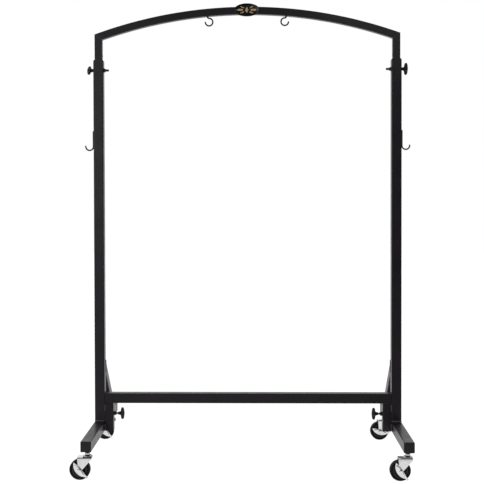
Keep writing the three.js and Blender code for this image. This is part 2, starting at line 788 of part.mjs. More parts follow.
// The fork is one sheet bent to a U: where the bent section, the side outline of its tapering
// cheeks and the rounded plan of its crown meet.
function casterFork(name) {
  const bottom = axleZ - axleBoss;
  const inner = forkGap / 2;
  const bendZ = crownTop - forkBend;
  const bendY = forkHalf - forkBend;
  const bent = new THREE.Shape();
  bent.moveTo(forkHalf, bottom);
  bent.absarc(bendY, bendZ, forkBend, 0, quarterTurn);
  bent.absarc(-bendY, bendZ, forkBend, quarterTurn, halfTurn);
  bent.lineTo(-forkHalf, bottom);
  bent.lineTo(-inner, bottom);
  bent.absarc(-bendY, bendZ, forkBend - forkPlate, halfTurn, quarterTurn, true);
  bent.absarc(bendY, bendZ, forkBend - forkPlate, quarterTurn, 0, true);
  bent.lineTo(inner, bottom);
  bent.closePath();
  const length = crownFront + crownRear;
  const section = alongX(extruded(bent, length)).translate(-crownRear, 0, 0);

  const skirtZ = crownTop - crownSkirt;
  const waistX = legWaistInset - crownRear;
  const waistZ = axleZ + legWaistHeight;
  const frontTouch = touchAngle(-casterTrail, axleZ, axleBoss, crownFront, skirtZ, -1);
  const rearTouch = touchAngle(-casterTrail, axleZ, axleBoss, waistX, waistZ, 1);
  const cheek = new THREE.Shape();
  cheek.moveTo(crownFront, crownTop);
  cheek.lineTo(-crownRear, crownTop);
  cheek.lineTo(-crownRear, skirtZ);
  cheek.lineTo(waistX, waistZ);
  cheek.absarc(-casterTrail, axleZ, axleBoss, rearTouch, frontTouch + fullTurn, false);
  cheek.lineTo(crownFront, skirtZ);
  cheek.closePath();
  const width = 2 * forkHalf + 2 * cutOverrun;
  const sides = extruded(cheek, width, outlineSteps);

  const plan = new THREE.Shape();
  const cornerY = forkHalf - crownCorner;
  plan.absarc(crownFront - crownCorner, cornerY, crownCorner, 0, quarterTurn);
  plan.absarc(crownCorner - crownRear, cornerY, crownCorner, quarterTurn, halfTurn);
  plan.absarc(crownCorner - crownRear, -cornerY, crownCorner, halfTurn, halfTurn + quarterTurn);
  plan.absarc(crownFront - crownCorner, -cornerY, crownCorner, halfTurn + quarterTurn, fullTurn);
  plan.closePath();
  const crown = extruded(plan, crownTop, planSteps);

  const sheet = solid(section).intersect(solid(alongY(sides, width))).intersect(solid(crown));
  const raceOuter = raceRadius - raceWall - runGap;
  const race = roundBar(raceOuter, lowerRaceHeight + forkPlate / 2, casterSides);
  race.translate(0, 0, crownTop - forkPlate / 2);
  const pinHole = roundBar(kingpinRadius + runGap, crownTop, casterSides);
  pinHole.translate(0, 0, crownBottom - cutOverrun);
  const axleHole = alongY(roundBar(axleRadius + seatGap, width, boltSides), width);
  axleHole.translate(-casterTrail, 0, axleZ);
  return piece(name, surface(cut(join(sheet, solid(race)), solid(pinHole), solid(axleHole))), chromePlate);
}

// The axle is a bolt through both cheeks, the wheel and the brake lever, with its nut behind.
function casterAxle(name) {
  const nearEnd = forkHalf + seatGap + leverPlate + leverEmboss + seatGap;
  const farEnd = forkHalf + seatGap;
  const shank = turned(
    [
      [0, -farEnd - axleHeadHeight],
      [axleRadius, -farEnd - axleHeadHeight],
      [axleRadius, nearEnd],
      [axleHeadRadius, nearEnd],
      [axleHeadRadius - boltChamfer, nearEnd + axleHeadHeight],
      [0, nearEnd + axleHeadHeight],
    ],
    boltSides,
  );
  const nut = roundBar(axleHeadRadius, axleHeadHeight, hexSides).translate(0, 0, -farEnd - axleHeadHeight);
  const body = surface(join(solid(shank), solid(nut))).rotateX(quarterTurn);
  const mesh = piece(name, body, chromePlate);
  mesh.position.set(-casterTrail, 0, axleZ);
  return mesh;
}

function wheelHub(name) {
  const bossHalf = forkGap / 2 - 2 * runGap;
  const rimEdge = hubRimHalf + hubLip;
  const half = [
    [axleRadius + runGap, bossHalf],
    [hubBossRadius, bossHalf],
    [hubBossRadius, hubWebHalf],
    [hubWellRadius, hubWebHalf],
    [hubWellRadius, rimEdge],
    [hubLipRadius, rimEdge],
    [hubLipRadius, hubRimHalf],
    [hubRimRadius, hubRimHalf],
  ];
  const rear = half.map(([radius, height]) => [radius, -height]);
  const ring = [...rear, ...half.reverse(), rear[0]];
  const body = turned(ring, hubSides).rotateX(quarterTurn);
  const mesh = piece(name, body, blackPlastic);
  mesh.position.set(-casterTrail, 0, axleZ);
  return mesh;
}

// The tyre grips the hub between its lips. Its flats, not its corners, touch the floor, so its
// corners stand a little outside the wheel's radius.
function wheelTyre(name) {
  const tread = axleZ / Math.cos(halfTurn / tyreSides);
  const bore = (hubRimRadius + seatGap) / Math.cos(halfTurn / tyreSides);
  const bead = (hubLipRadius + seatGap) / Math.cos(halfTurn / tyreSides);
  const beadHalf = hubRimHalf - seatGap;
  const half = [
    [bore, beadHalf],
    [bead, beadHalf],
    [tread - tyreSide, tyreWidth / 2],
    [tread - tyreShoulder, tyreTread / 2 + tyreShoulderWidth],
    [tread, tyreTread / 2],
  ];
  const rear = half.map(([radius, height]) => [radius, -height]);
  const ring = [...rear, ...half.reverse(), rear[0]];
  const body = turned(ring, tyreSides).rotateX(quarterTurn);
  const mesh = piece(name, body, blackRubber);
  mesh.position.set(-casterTrail, 0, axleZ);
  return mesh;
}

// A leaf along X between two arcs that meet in its tips. It rises by the back above the line of
// the tips and hangs by the belly below it.
function leaf(halfLength, belly, back, tipY) {
  const bellyRadius = (halfLength ** 2 + belly ** 2) / (2 * belly);
  const backRadius = (halfLength ** 2 + back ** 2) / (2 * back);
  const bellyReach = Math.asin(halfLength / bellyRadius);
  const backReach = Math.asin(halfLength / backRadius);
  const backY = tipY + back - backRadius;
  const bellyY = tipY - belly + bellyRadius;
  const shape = new THREE.Shape();
  shape.absarc(0, backY, backRadius, quarterTurn - backReach, quarterTurn + backReach, false);
  shape.absarc(0, bellyY, bellyRadius, -quarterTurn - bellyReach, -quarterTurn + bellyReach, false);
  shape.closePath();
  return shape;
}

// The brake lever turns on the axle outside the near cheek.
function brakeLever(name, slope) {
  const inner = forkHalf + seatGap;
  const share = leverEmbossShare;
  const outer = leaf(leverHalfLength, leverBelly, leverBack, leverRise);
  const inset = leaf(leverHalfLength * share, leverBelly * share, leverBack * share, leverRise);
  const outline = extruded(outer, leverPlate, outlineSteps);
  const raised = extruded(inset, leverPlate / 2 + leverEmboss, outlineSteps);
  raised.translate(0, 0, leverPlate / 2);
  const tabInner = axleZ + leverTabGap;
  const tabOuter = tabInner + leverPlate;
  const rootLength = tabOuter - leverHalfLength + leverTabRoot;
  const root = new THREE.BoxGeometry(rootLength, leverTabWidth, leverPlate);
  root.translate(tabOuter - rootLength / 2, leverRise, leverPlate / 2);
  const tab = new THREE.BoxGeometry(leverPlate, leverTabWidth, leverTabReach);
  tab.translate(tabInner + leverPlate / 2, leverRise, leverPlate - leverTabReach / 2);
  const hole = roundBar(axleRadius + runGap, leverPlate + leverEmboss + 2 * cutOverrun, boltSides);
  hole.translate(0, 0, -cutOverrun);
  const body = cut(join(solid(outline), solid(raised), solid(root), solid(tab)), solid(hole));
  const shape = surface(body).translate(0, 0, inner).rotateX(quarterTurn);
  const mesh = piece(name, shape, chromePlate);
  mesh.rotation.y = degrees(slope);
  mesh.position.set(-casterTrail, 0, axleZ);
  return mesh;
}

function caster(place, x, y, swivel, slope) {
  const group = new THREE.Group();
  group.add(casterStem("caster_stem_" + place));
  group.add(casterFork("caster_fork_" + place));
  group.add(casterAxle("caster_axle_" + place));
  group.add(wheelHub("wheel_hub_" + place));
  group.add(wheelTyre("wheel_tyre_" + place));
  group.add(brakeLever("brake_lever_" + place, slope));
  group.position.set(x, y, 0);
  group.rotation.z = degrees(swivel);
  return group;
}

// Assembly

function sideFrame(side) {
  const group = new THREE.Group();
  group.add(upright(side), foot(side), brace(side), socket(side));
  group.add(footCap(side, -1), footCap(side, 1), sleeveBush(side));
  group.add(heightNut(side), clampNut(side), malletHook(side));
  return group;
}

function archFrame() {
  const group = new THREE.Group();
  group.add(archTube(), archLeg(-1), archLeg(1), badgePlate(), gongHook(-1), gongHook(1));
  return group;
}

function casterSet() {
  const group = new THREE.Group();
  group.add(caster("front_left", -uprightX, -stemY, swivelFrontLeft, leverSlopeFrontLeft));
  group.add(caster("front_right", uprightX, -stemY, swivelFrontRight, leverSlopeFrontRight));
  group.add(caster("rear_left", -uprightX, stemY, swivelRearLeft, leverSlopeRearLeft));
  group.add(caster("rear_right", uprightX, stemY, swivelRearRight, leverSlopeRearRight));
  return group;
}

const stand = new THREE.Group();
stand.add(sideFrame(-1), sideFrame(1), crossbar(), archFrame());
stand.add(heightKnob(-1, heightKnobTurnLeft), heightKnob(1, heightKnobTurnRight));
stand.add(clampKnob(-1, clampKnobTurnLeft), clampKnob(1, clampKnobTurnRight));
stand.add(casterSet());

export default stand;
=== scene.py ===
import json
import math

import bmesh
import bpy
import numpy as np
from mathutils import Matrix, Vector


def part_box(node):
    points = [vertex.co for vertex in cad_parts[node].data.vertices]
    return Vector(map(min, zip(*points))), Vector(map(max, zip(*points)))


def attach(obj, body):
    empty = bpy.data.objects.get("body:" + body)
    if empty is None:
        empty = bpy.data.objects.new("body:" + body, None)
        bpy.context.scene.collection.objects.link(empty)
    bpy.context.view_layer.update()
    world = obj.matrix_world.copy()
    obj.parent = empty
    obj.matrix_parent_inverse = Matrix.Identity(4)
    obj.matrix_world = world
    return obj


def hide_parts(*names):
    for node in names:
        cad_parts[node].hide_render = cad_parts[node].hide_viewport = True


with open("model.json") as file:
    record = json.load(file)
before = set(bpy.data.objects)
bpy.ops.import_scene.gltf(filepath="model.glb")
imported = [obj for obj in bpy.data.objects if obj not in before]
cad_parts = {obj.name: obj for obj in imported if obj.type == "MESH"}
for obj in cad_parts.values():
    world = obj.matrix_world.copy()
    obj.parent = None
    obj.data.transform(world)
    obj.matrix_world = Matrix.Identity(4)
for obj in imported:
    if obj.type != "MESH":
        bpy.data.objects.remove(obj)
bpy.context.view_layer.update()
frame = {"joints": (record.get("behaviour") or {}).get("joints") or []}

# A rolling gong stand of black square tube, in metres: +X to the right, +Y to the back, +Z up.

SIDES = ("left", "right")
PLACES = ("front_left", "front_right", "rear_left", "rear_right")
X_AXIS, Y_AXIS, Z_AXIS = np.eye(3)

# Camera, fitted to the edges of the photographed frame
camera_place = (0.0339, -4.2417, 1.0606)
camera_heading = 1.33
camera_tilt = -1.159
camera_roll = -0.142
picture_px = 484
focal_px = 1051.5
centre_px = (231.30, 217.34)
sensor_width = 36.0

# Tube stock
tube_wall = 0.002
tube_corner = 0.003
leg_corner = 0.0025
arch_rise = 0.1025
arch_edge_share = 0.999
arch_bend_share = 0.99
edge_margin = 0.0006
leg_hole_radius = 0.006
leg_hole_web = 0.010

# Bosses under the feet, round the caster stems
boss_radius = 0.0117
boss_end_radius = 0.0112
boss_rounds = (0.0004, 0.0004, 0.0022, 0.0004)

# Welds: the shares of a fillet's section are of its leg
weld_radius = 0.0023
weld_pitch = 0.0042
weld_ripple_share = 0.08
weld_leg = 0.0052
fillet_shares = ((-0.05, -0.05), (1.0, -0.05), (0.54, 0.54), (-0.05, 1.0))
fillet_round_shares = (0.02, 0.2, 0.3, 0.2)
weld_seam = 0.0012
weld_seam_lift = weld_radius / 3
weld_mitre = 0.0009
mitre_sink = 0.0005
socket_weld_inset = 0.0008
socket_weld_shares = ((0.73, 0.93), (0.05, 0.25))

# Moulded caps and bushes: a cap's shares are of the foot's half width and of the flange
cap_flange = 0.003
cap_side_shares = ((0.0, 0.0), (1.0, 0.0), (1.0, 1.0), (0.0, 1.0))
cap_round_shares = (0, 0.012, 0.11, 0)
cap_crown_shares = ((0.5, 1.04), (0.0, 1.06))
bush_gap = 0.0003
bush_inset = 0.0025
bush_lip = 0.001
bush_rounds = (0.0003, 0.0003, 0.0002, 0.0004, 0.0012, 0.0006, 0.0002)
lip_slope = 0.0032

# Weld nuts
cone_bore = 0.0053
cone_waist = 0.0078
cone_waist_share = 0.4
cone_tip = 0.0062
cone_rounds = (0.0002, 0.0008, 0.004, 0.0008, 0.0002)
cone_weld = 0.0012
cone_weld_inset = 0.0006
cone_weld_sink = 0.0003
dome_bore = 0.0043
dome_shoulder_share = 0.62
dome_tip = 0.0056
dome_rounds = (0.0002, 0.0008, 0.0035, 0.0018, 0.0002)

# Wire hooks
hook_wire = 0.006
gong_loop_radius = 0.015
gong_neck_bend = 0.006
gong_loop_end = 355
gong_root = hook_wire / 6
gong_weld = 0.0013
gong_weld_gap = 0.0004
gong_weld_sink = 0.0002
mallet_loop_radius = 0.0155
mallet_tip = 0.004
shank_weld = 0.0014
shank_weld_half = 0.007
shank_weld_aside = hook_wire / 3
shank_weld_shares = (0.82, 0.3)

# Badge: its oval is about twice as wide as it is high
badge_rim = 0.003
badge_dome = 0.0016
badge_edge = 0.0012
badge_side_drop = 0.0004
badge_rim_drop = 0.0006
badge_rounds = (0, 0.0008, 0.0008, 0.0012, 0.0012, 0.0008, 0)
badge_aspect = 2
leaf_thickness = 0.0006
leaf_root = 0.0004
leaf_end_power = 6

# Each leaf's place along and up, slope in degrees, half length, half width and taper
badge_leaves = (
    (0.0, 0.0, 90, 0.0150, 0.0085, 1.0),
    (0.0262, 0.0, 0, 0.0150, 0.0058, 2.0),
    (0.0180, 0.0105, 24, 0.0105, 0.0030, 2.0),
    (0.0432, 0.0, 0, 0.0022, 0.0022, 2.0),
)

# Knobs and their bolts
knob_neck = 0.0095
knob_neck_tip = 0.0058
knob_neck_flare = 0.0006
knob_neck_root = 0.0082
knob_neck_overlap = 0.001
knob_neck_end = 0.004
knob_neck_rounds = (0, 0.0005, 0.004, 0.001, 0)
knob_depth = 0.0173
knob_tip_depth = 0.0112
knob_half_span = 0.024
knob_lobe = 0.0066
knob_waist = 0.0049
knob_hub = 0.0086
knob_lobe_shares = (0.6, 0.96)
knob_waist_share = 0.42
knob_hub_share = 0.5
knob_tip_round_share = 0.98
knob_side_round = 0.006
knob_squareness = 0.45
height_knob_turns = {"left": 50, "right": 16}
clamp_knob_turns = {"left": 6, "right": -4}
thread_pitch = 0.0015
thread_depth = 0.0004
thread_start = 0.0012
bolt_end_inset = 0.0018
bolt_end_length = 0.0016
bolt_end_depth = 0.0022
bolt_end_rounds = (0, 0.0008, 0.0003, 0)
nut_chamfer_share = 0.97

# Caster stems: the kingpin's head is measured up from its end, the race in from its radius
caster_trail = 0.0285
caster_gap = 0.0003
stem_radius = 0.005
nut_flats = 0.017
nut_sink = 0.0002
nut_gap = 0.001
kingpin_radius = 0.006
kingpin_head = 0.009
kingpin_head_low = 0.0022
kingpin_head_high = 0.0035
race_radius = 0.0182
race_height = 0.005
race_gap = 0.0006
race_recess = 0.001
race_lip = 0.0018
race_lip_root = 0.0027
race_rim_height = 0.0016
race_cone = 0.0046
stem_rounds = (0, 0.002, 0.0006, 0.0004, 0.0004, 0.0004, 0.0006, 0.0004, 0.0004, 0.001, 0.002, 0.0003,
               0.0006, 0)

# Forks, with the lower race on each crown
fork_plate = 0.0025
fork_gap = 0.034
fork_bend = 0.005
fork_skirt = 0.007
skirt_round = 0.0035
fork_boss = 0.007
fork_front = 0.018
fork_rear = -0.037
fork_edge_share = 0.02
fork_band_share = 0.1
waist_height = 0.022
waist_inset = 0.0025
lower_race_bore = 0.0063
lower_race_inset = 0.003
lower_race_rise = 0.003
lower_race_sink = 0.0012
lower_race_round = 0.0006

# Axle bolts
axle_radius = 0.004
axle_head = 0.007
axle_head_height = 0.004
axle_head_side = 0.0018
axle_head_crown = 0.0035
axle_head_rounds = (0, 0.0004, 0.0016, 0.002, 0)
axle_end_inset = 0.0006
axle_end_length = 0.0008
axle_shank_rounds = (0, 0.0004, 0.0004, 0, 0)
axle_nut_height = 0.0036

# Wheel hubs
hub_clearance = 0.0006
hub_bore = 0.0043
hub_boss = 0.0100
hub_boss_root = 0.0104
hub_web_half = 0.0042
hub_rim_root = 0.0220
hub_rim_inside = 0.0222
hub_rim_half = 0.0110
hub_rim_edge = 0.0292
hub_seat = 0.0272
hub_seat_half = 0.0082
hub_round = 0.0007
rib_angle = 45
rib_start = 0.0098
rib_end = 0.0224
rib_low = 0.0040
rib_high = 0.0098
rib_low_half = 0.0009
rib_high_half = 0.0007
rib_round = 0.0003

# Tyres
tyre_width = 0.028
tyre_bore = 0.0275
tyre_bead = 0.0295
tyre_bead_half = 0.0079
tyre_side_drop = 0.005
tyre_shoulder_drop = 0.0016
tyre_shoulder_half = 0.0125
tyre_tread_half = 0.0095
tyre_rounds = (0.0003, 0.0006, 0.0020, 0.0030, 0.0040)

# Brake levers, with the tab at the lower tip
lever_half_length = 0.0365
lever_belly = 0.018
lever_back = 0.0056
lever_rise = 0.0034
lever_plate = 0.002
lever_emboss = 0.0012
emboss_share = 0.72
emboss_foot_share = 1.15
emboss_slope_share = 0.35
dish_radius = 0.0098
dish_half_width = 0.0012
dish_depth = 0.0005
lever_edge_drop = 0.0006
lever_flat_share = 0.9
lever_edge_share = 0.1
tab_gap = 0.0012
tab_start = 0.007
tab_bend = 0.001
tab_reach = 0.011
tab_half_width = 0.0035
tab_half_thickness = 0.0009
tab_round = 0.0005
lever_slopes = {"front_left": 49, "front_right": 56, "rear_left": 50, "rear_right": 16}

# How finely round forms are divided
corner_steps = 5
fillet_steps = 5
arc_steps = 24
arch_steps = 96
rim_steps = 8
round_sides = 48
nut_sides = 72
bolt_sides = 24
shank_sides = 32
wire_sides = 20
wire_end_steps = 5
bead_sides = 10
bead_steps = 6
fewest_bead_steps = 12
cone_weld_steps = 48
gong_weld_steps = 40
gong_neck_steps = 12
gong_loop_steps = 60
thread_steps = 6
badge_sides = 96
badge_points = 14
leaf_points = 33
leaf_sides = 24
grip_points = 25
boss_points = 15
cheek_points = 12
fork_bend_steps = 8
crown_points = 8
band_points = 9
hub_sides = 96
rib_points = 4
tyre_sides = 120
lever_points = (49, 25)
tab_bend_steps = 6
merge_distance = 2e-6
crease = math.radians(34)

# Limits of a rounding: the share of a side that it may take, and the cosine of its corner
touch_share = 0.49
cosine_limit = 0.99999


# Shapes

def sheet_of(points, wrap_rows=False, wrap_columns=False):
    """A grid of points as (points, quads): each quad joins a point to its neighbours in the next
    column and the next row, and a wrapped direction joins its last line to its first."""
    rows, columns = points.shape[:2]
    i = np.arange(rows if wrap_rows else rows - 1)
    j = np.arange(columns if wrap_columns else columns - 1)
    i, j = np.meshgrid(i, j, indexing="ij")
    below, beside = (i + 1) % rows, (j + 1) % columns
    quads = np.stack([i * columns + j, i * columns + beside,
                      below * columns + beside, below * columns + j], axis=-1)
    return points.reshape(-1, 3), quads.reshape(-1, 4)


def capped(points):
    """Sections in rows, closed round, with each end drawn to the middle of its section."""
    caps = [np.broadcast_to(points[k].mean(axis=0), points[:1].shape) for k in (0, -1)]
    return sheet_of(np.concatenate([caps[0], points, caps[1]]), False, True)


def moved(parts, turn=np.eye(3), shift=(0.0, 0.0, 0.0)):
    """The parts with each point p at turn p + shift."""
    return [(points @ np.asarray(turn).T + np.asarray(shift), quads) for points, quads in parts]


def basis(along, beside):
    """A turn whose columns are beside, along x beside, and along: local Z goes to along."""
    along = np.asarray(along, float) / np.linalg.norm(along)
    beside = beside - np.dot(beside, along) * along
    beside = beside / np.linalg.norm(beside)
    return np.stack([beside, np.cross(along, beside), along], axis=1)


def spun(degrees, axis="Z"):
    """The turn by that angle about an axis, by the right-hand rule."""
    return np.array(Matrix.Rotation(math.radians(degrees), 3, axis))


def tangents(path):
    """The unit tangents of an open path, from the step between each point's neighbours."""
    step = np.gradient(path, axis=0)
    return step / np.linalg.norm(step, axis=1)[:, None]


def softened(corners, radii, closed=False):
    """An outline with rounded corners. At a corner whose sides lie along unit a and b, at half
    angle h, the arc of radius r touches the sides r / tan h away, and its centre lies r / sin h
    along a + b; between the touch points the arc runs by spherical interpolation."""
    corners = np.asarray(corners, float)
    radii = np.broadcast_to(np.asarray(radii, float), len(corners))
    to_last = np.roll(corners, 1, axis=0) - corners
    to_next = np.roll(corners, -1, axis=0) - corners
    last_length = np.linalg.norm(to_last, axis=1)
    next_length = np.linalg.norm(to_next, axis=1)
    a = to_last / last_length[:, None]
    b = to_next / next_length[:, None]
    half = np.arccos(np.clip(np.sum(a * b, axis=1), -cosine_limit, cosine_limit)) / 2
    touch = np.minimum(radii / np.tan(half), touch_share * np.minimum(last_length, next_length))
    radius = touch * np.tan(half)
    middle = (a + b) / np.linalg.norm(a + b, axis=1)[:, None]
    centre = corners + middle * (radius / np.sin(half))[:, None]
    start = corners + a * touch[:, None] - centre
    end = corners + b * touch[:, None] - centre
    sweep = (math.pi - 2 * half)[:, None, None]
    share = np.linspace(0.0, 1.0, fillet_steps + 1)[None, :, None]
    arcs = (np.sin((1 - share) * sweep) * start[:, None] + np.sin(share * sweep) * end[:, None])
    arcs = centre[:, None] + arcs / np.sin(sweep)
    if not closed:
        arcs = arcs[1:-1]
        return np.concatenate([corners[:1], arcs.reshape(-1, 2), corners[-1:]])
    return arcs.reshape(-1, 2)


def square_outline(width, corner):
    """Once round a square with quarter-circle corners: each corner's centre plus corner times
    (cos a, sin a). A point lies just past each end of an arc, which keeps the flats flat."""
    a = np.linspace(0.0, math.pi / 2, corner_steps + 1)
    reach = width / 2 - corner
    bend = reach + corner * np.stack([np.cos(a), np.sin(a)], axis=-1)
    near = np.array([[width / 2, reach - edge_margin]])
    quarter = np.concatenate([near, bend, near[:, ::-1]])
    turn = np.array([[0, 1], [-1, 0]])
    return np.concatenate([quarter @ np.linalg.matrix_power(turn, k) for k in range(4)])


def tube_faces(width, corner):
    """The width and corner radius of a square tube's outside, and of its inside."""
    return (width, corner), (width - 2 * tube_wall, corner - tube_wall / 2)


def square_tube(centre, along, beside, width, corner, start, end):
    """A hollow square tube cut by a plane at each end. A point is centre + a beside + b up + t
    along, where (a, b) runs round the outside and back round the inside, and t is where that
    line meets the end's plane, normal . (place - point) / normal . along."""
    turn = basis(along, beside)
    rings = []
    for face in tube_faces(width, corner):
        foot = np.asarray(centre) + square_outline(*face) @ turn[:, :2].T
        reach = [((np.asarray(place) - foot) @ normal) / (turn[:, 2] @ normal)
                 for place, normal in (start, end)]
        stops = np.stack([reach[0], reach[0] + edge_margin, reach[1] - edge_margin, reach[1]])
        rings.append(foot[None] + stops[..., None] * turn[:, 2])
    return [sheet_of(np.concatenate([rings[0], rings[1][::-1]]), True, True)]


def stacked(profile, outline):
    """A column whose section at each [share, height] of the profile is the outline times the
    share, at that height."""
    profile = np.asarray(profile)
    flat = profile[:, 0, None, None] * outline[None]
    height = np.broadcast_to(profile[:, 1, None, None], flat.shape[:2] + (1,))
    return np.concatenate([flat, height], axis=-1)


def turned(profile, closed=False, sides=round_sides):
    """A surface of revolution about Z: (r cos a, r sin a, h) for each [r, h] of the profile."""
    profile = np.asarray(profile)
    a = np.linspace(0.0, 2 * math.pi, sides, endpoint=False)
    ring = np.stack([np.cos(a), np.sin(a)], axis=-1)
    return [sheet_of(stacked(profile, ring), closed, True)]


def two_sided(half):
    """A closed profile from its upper half: the half mirrored below, then the half backwards."""
    half = np.array(half)
    return np.concatenate([half * [1, -1], half[::-1]])


def hex_nut(flats, low, high):
    """A hexagonal nut: at angle a the side stands flats / 2 / cos of the angle to the nearest
    flat, and the top and bottom edges are cut back by a cone of 30 degrees."""
    a = np.linspace(0.0, 2 * math.pi, nut_sides, endpoint=False)
    side = flats / 2 / np.cos((a + math.pi / 6) % (math.pi / 3) - math.pi / 6)
    inner = nut_chamfer_share * flats / 2
    drop = np.maximum(side - inner, 0.0) * math.tan(math.pi / 6)
    rows = [(0.0, low), (inner, low), (side, low + drop), (side, high - drop), (inner, high), (0.0, high)]
    radius = np.stack([np.broadcast_to(r, a.shape) for r, _ in rows])
    height = np.stack([np.broadcast_to(h, a.shape) for _, h in rows])
    points = np.stack([radius * np.cos(a), radius * np.sin(a), height], axis=-1)
    return [sheet_of(points, False, True)]


def threaded(radius, start, end):
    """A screw thread along Z: the radius falls by the thread's depth as a triangle wave of
    height / pitch less the share of a turn, and fades out at both ends."""
    step = thread_pitch / thread_steps
    a = np.linspace(0.0, 2 * math.pi, bolt_sides, endpoint=False)
    h, a = np.meshgrid(np.arange(start, end + step, step), a, indexing="ij")
    wave = np.abs((h / thread_pitch - a / (2 * math.pi)) % 1.0 - 0.5) * 2
    fade = np.clip((end - h) / thread_pitch, 0, 1) * np.clip((h - start) / thread_pitch, 0, 1)
    r = radius - thread_depth * (wave * fade + (1 - fade))
    wall = np.stack([r * np.cos(a), r * np.sin(a), h], axis=-1)
    caps = [np.broadcast_to([0.0, 0.0, z], wall[:1].shape) for z in (start, end)]
    return [sheet_of(np.concatenate([caps[0], wall, caps[1]]), False, True)]


def arc(centre, radius, start, end, steps=arc_steps):
    """Points of an arc in a plane: centre + radius (cos a, sin a), a in degrees."""
    a = np.radians(np.linspace(start, end, steps + 1))
    return np.asarray(centre) + radius * np.stack([np.cos(a), np.sin(a)], axis=-1)


def round_wire(path, radius, flat, closed=False, sides=wire_sides):
    """A round wire along a flat path: path + radius (cos a side + sin a flat), where flat is the
    normal of the path's plane and side is tangent x flat. Open ends are half spheres."""
    path = np.asarray(path, float)
    keep = np.linalg.norm(np.diff(path, axis=0), axis=1) > merge_distance
    path = path[np.concatenate([[True], keep])]
    radius = np.broadcast_to(radius, len(path)).astype(float)
    if closed:
        tangent = np.roll(path, -1, axis=0) - np.roll(path, 1, axis=0)
        tangent /= np.linalg.norm(tangent, axis=1)[:, None]
    else:
        tangent = tangents(path)
        b = np.linspace(0.0, math.pi / 2, wire_end_steps + 1)[1:]
        last, first = radius[-1], radius[0]
        path = np.concatenate([path[0] - tangent[0] * first * np.sin(b[::-1, None]), path,
                               path[-1] + tangent[-1] * last * np.sin(b[:, None])])
        radius = np.concatenate([first * np.cos(b[::-1]), radius, last * np.cos(b)])
        tangent = np.concatenate([np.repeat(tangent[:1], len(b), 0), tangent,
                                  np.repeat(tangent[-1:], len(b), 0)])
    side = np.cross(tangent, flat)
    a = np.linspace(0.0, 2 * math.pi, sides, endpoint=False)[None, :, None]
    spoke = np.cos(a) * side[:, None] + np.sin(a) * np.asarray(flat, float)
    return [sheet_of(path[:, None] + radius[:, None, None] * spoke, closed, True)]


def weld_bead(path, flat, closed=True, radius=weld_radius):
    """A weld bead: a round wire whose radius ripples with the distance s along it, as
    radius (1 + ripple |sin(pi s / pitch)|)."""
    path = np.asarray(path, float)
    if closed:
        path = np.concatenate([path, path[:1]])
    length = np.concatenate([[0.0], np.cumsum(np.linalg.norm(np.diff(path, axis=0), axis=1))])
    steps = max(int(length[-1] / weld_pitch) * bead_steps, fewest_bead_steps)
    s = np.linspace(0.0, length[-1], steps + 1)
    even = np.stack([np.interp(s, length, path[:, k]) for k in range(3)], axis=-1)
    ripple = radius * (1 + weld_ripple_share * np.abs(np.sin(math.pi * s / weld_pitch)))
    if closed:
        even, ripple = even[:-1], ripple[:-1]
    return round_wire(even, ripple, flat, closed, sides=bead_sides)


def fillet_weld(start, end, out):
    """A weld in the corner of two faces, one facing out and one facing up. Across it runs a
    rounded triangle with two sides of the weld's leg; along it they ripple as
    leg (1 + ripple |sin(pi s / pitch)|) and run out to a point at both ends."""
    start, end = np.asarray(start, float), np.asarray(end, float)
    length = np.linalg.norm(end - start)
    s = np.linspace(0.0, length, int(length / weld_pitch) * bead_steps + 1)
    section = softened(fillet_shares, fillet_round_shares, True)
    taper = np.sqrt(np.clip(np.minimum(s, length - s) / weld_leg, 0.0, 1.0))
    size = weld_leg * taper * (1 + weld_ripple_share * np.abs(np.sin(math.pi * s / weld_pitch)))
    run = start + (s / length)[:, None] * (end - start)
    across = section[:, :1] * np.asarray(out, float) + section[:, 1:] * Z_AXIS
    return [sheet_of(run[:, None] + size[:, None, None] * across[None], False, True)]


# Pieces

materials = {}


def make_piece(name, parts, body, slot, replaces=(), own_finish=None):
    """One mesh from several grids: their points are merged where they meet, faces without area
    go, and the normals are turned outwards. It rides on its body and stands for its nodes. A
    finish of its own takes the place of a slot."""
    counts = np.cumsum([0] + [len(points) for points, _ in parts])
    points = np.concatenate([points for points, _ in parts])
    quads = np.concatenate([quads + first for (_, quads), first in zip(parts, counts)])
    mesh = bpy.data.meshes.new(name)
    mesh.from_pydata(points.tolist(), [], quads.tolist())
    work = bmesh.new()
    work.from_mesh(mesh)
    bmesh.ops.remove_doubles(work, verts=work.verts, dist=merge_distance)
    bmesh.ops.dissolve_degenerate(work, edges=work.edges, dist=merge_distance)
    bmesh.ops.recalc_face_normals(work, faces=work.faces)
    work.to_mesh(mesh)
    work.free()
    mesh.shade_smooth()
    mesh.set_sharp_from_angle(angle=crease)
    mesh.materials.append(materials[own_finish or slot])
    piece = bpy.data.objects.new(name, mesh)
    bpy.context.scene.collection.objects.link(piece)
    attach(piece, body)
    if replaces:
        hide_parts(*replaces)


def span(node):
    """The lowest corner, highest corner and middle of a node, as arrays."""
    low, high = (np.array(corner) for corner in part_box(node))
    return low, high, (low + high) / 2


def joint_named(name):
    """A joint of the frame, by its name."""
    return next(joint for joint in frame["joints"] if joint["name"] == name)


def hand(side):
    """The sign of X at a side."""
    return -1 if side == "left" else 1


def plane(place, normal):
    """A cutting plane: a place on it and its normal, as arrays."""
    return np.asarray(place, float), np.asarray(normal, float)


def straight_tube(node, along, corner):
    """The tube that fills a node's box along one axis, open at both ends."""
    low, high, middle = span(node)
    axis = int(np.argmax(np.abs(along)))
    width = np.delete(high - low, axis).max()
    beside = X_AXIS if axis != 0 else Y_AXIS
    return square_tube(middle, along, beside, width, corner, plane(low, along), plane(high, along))


# Side frames

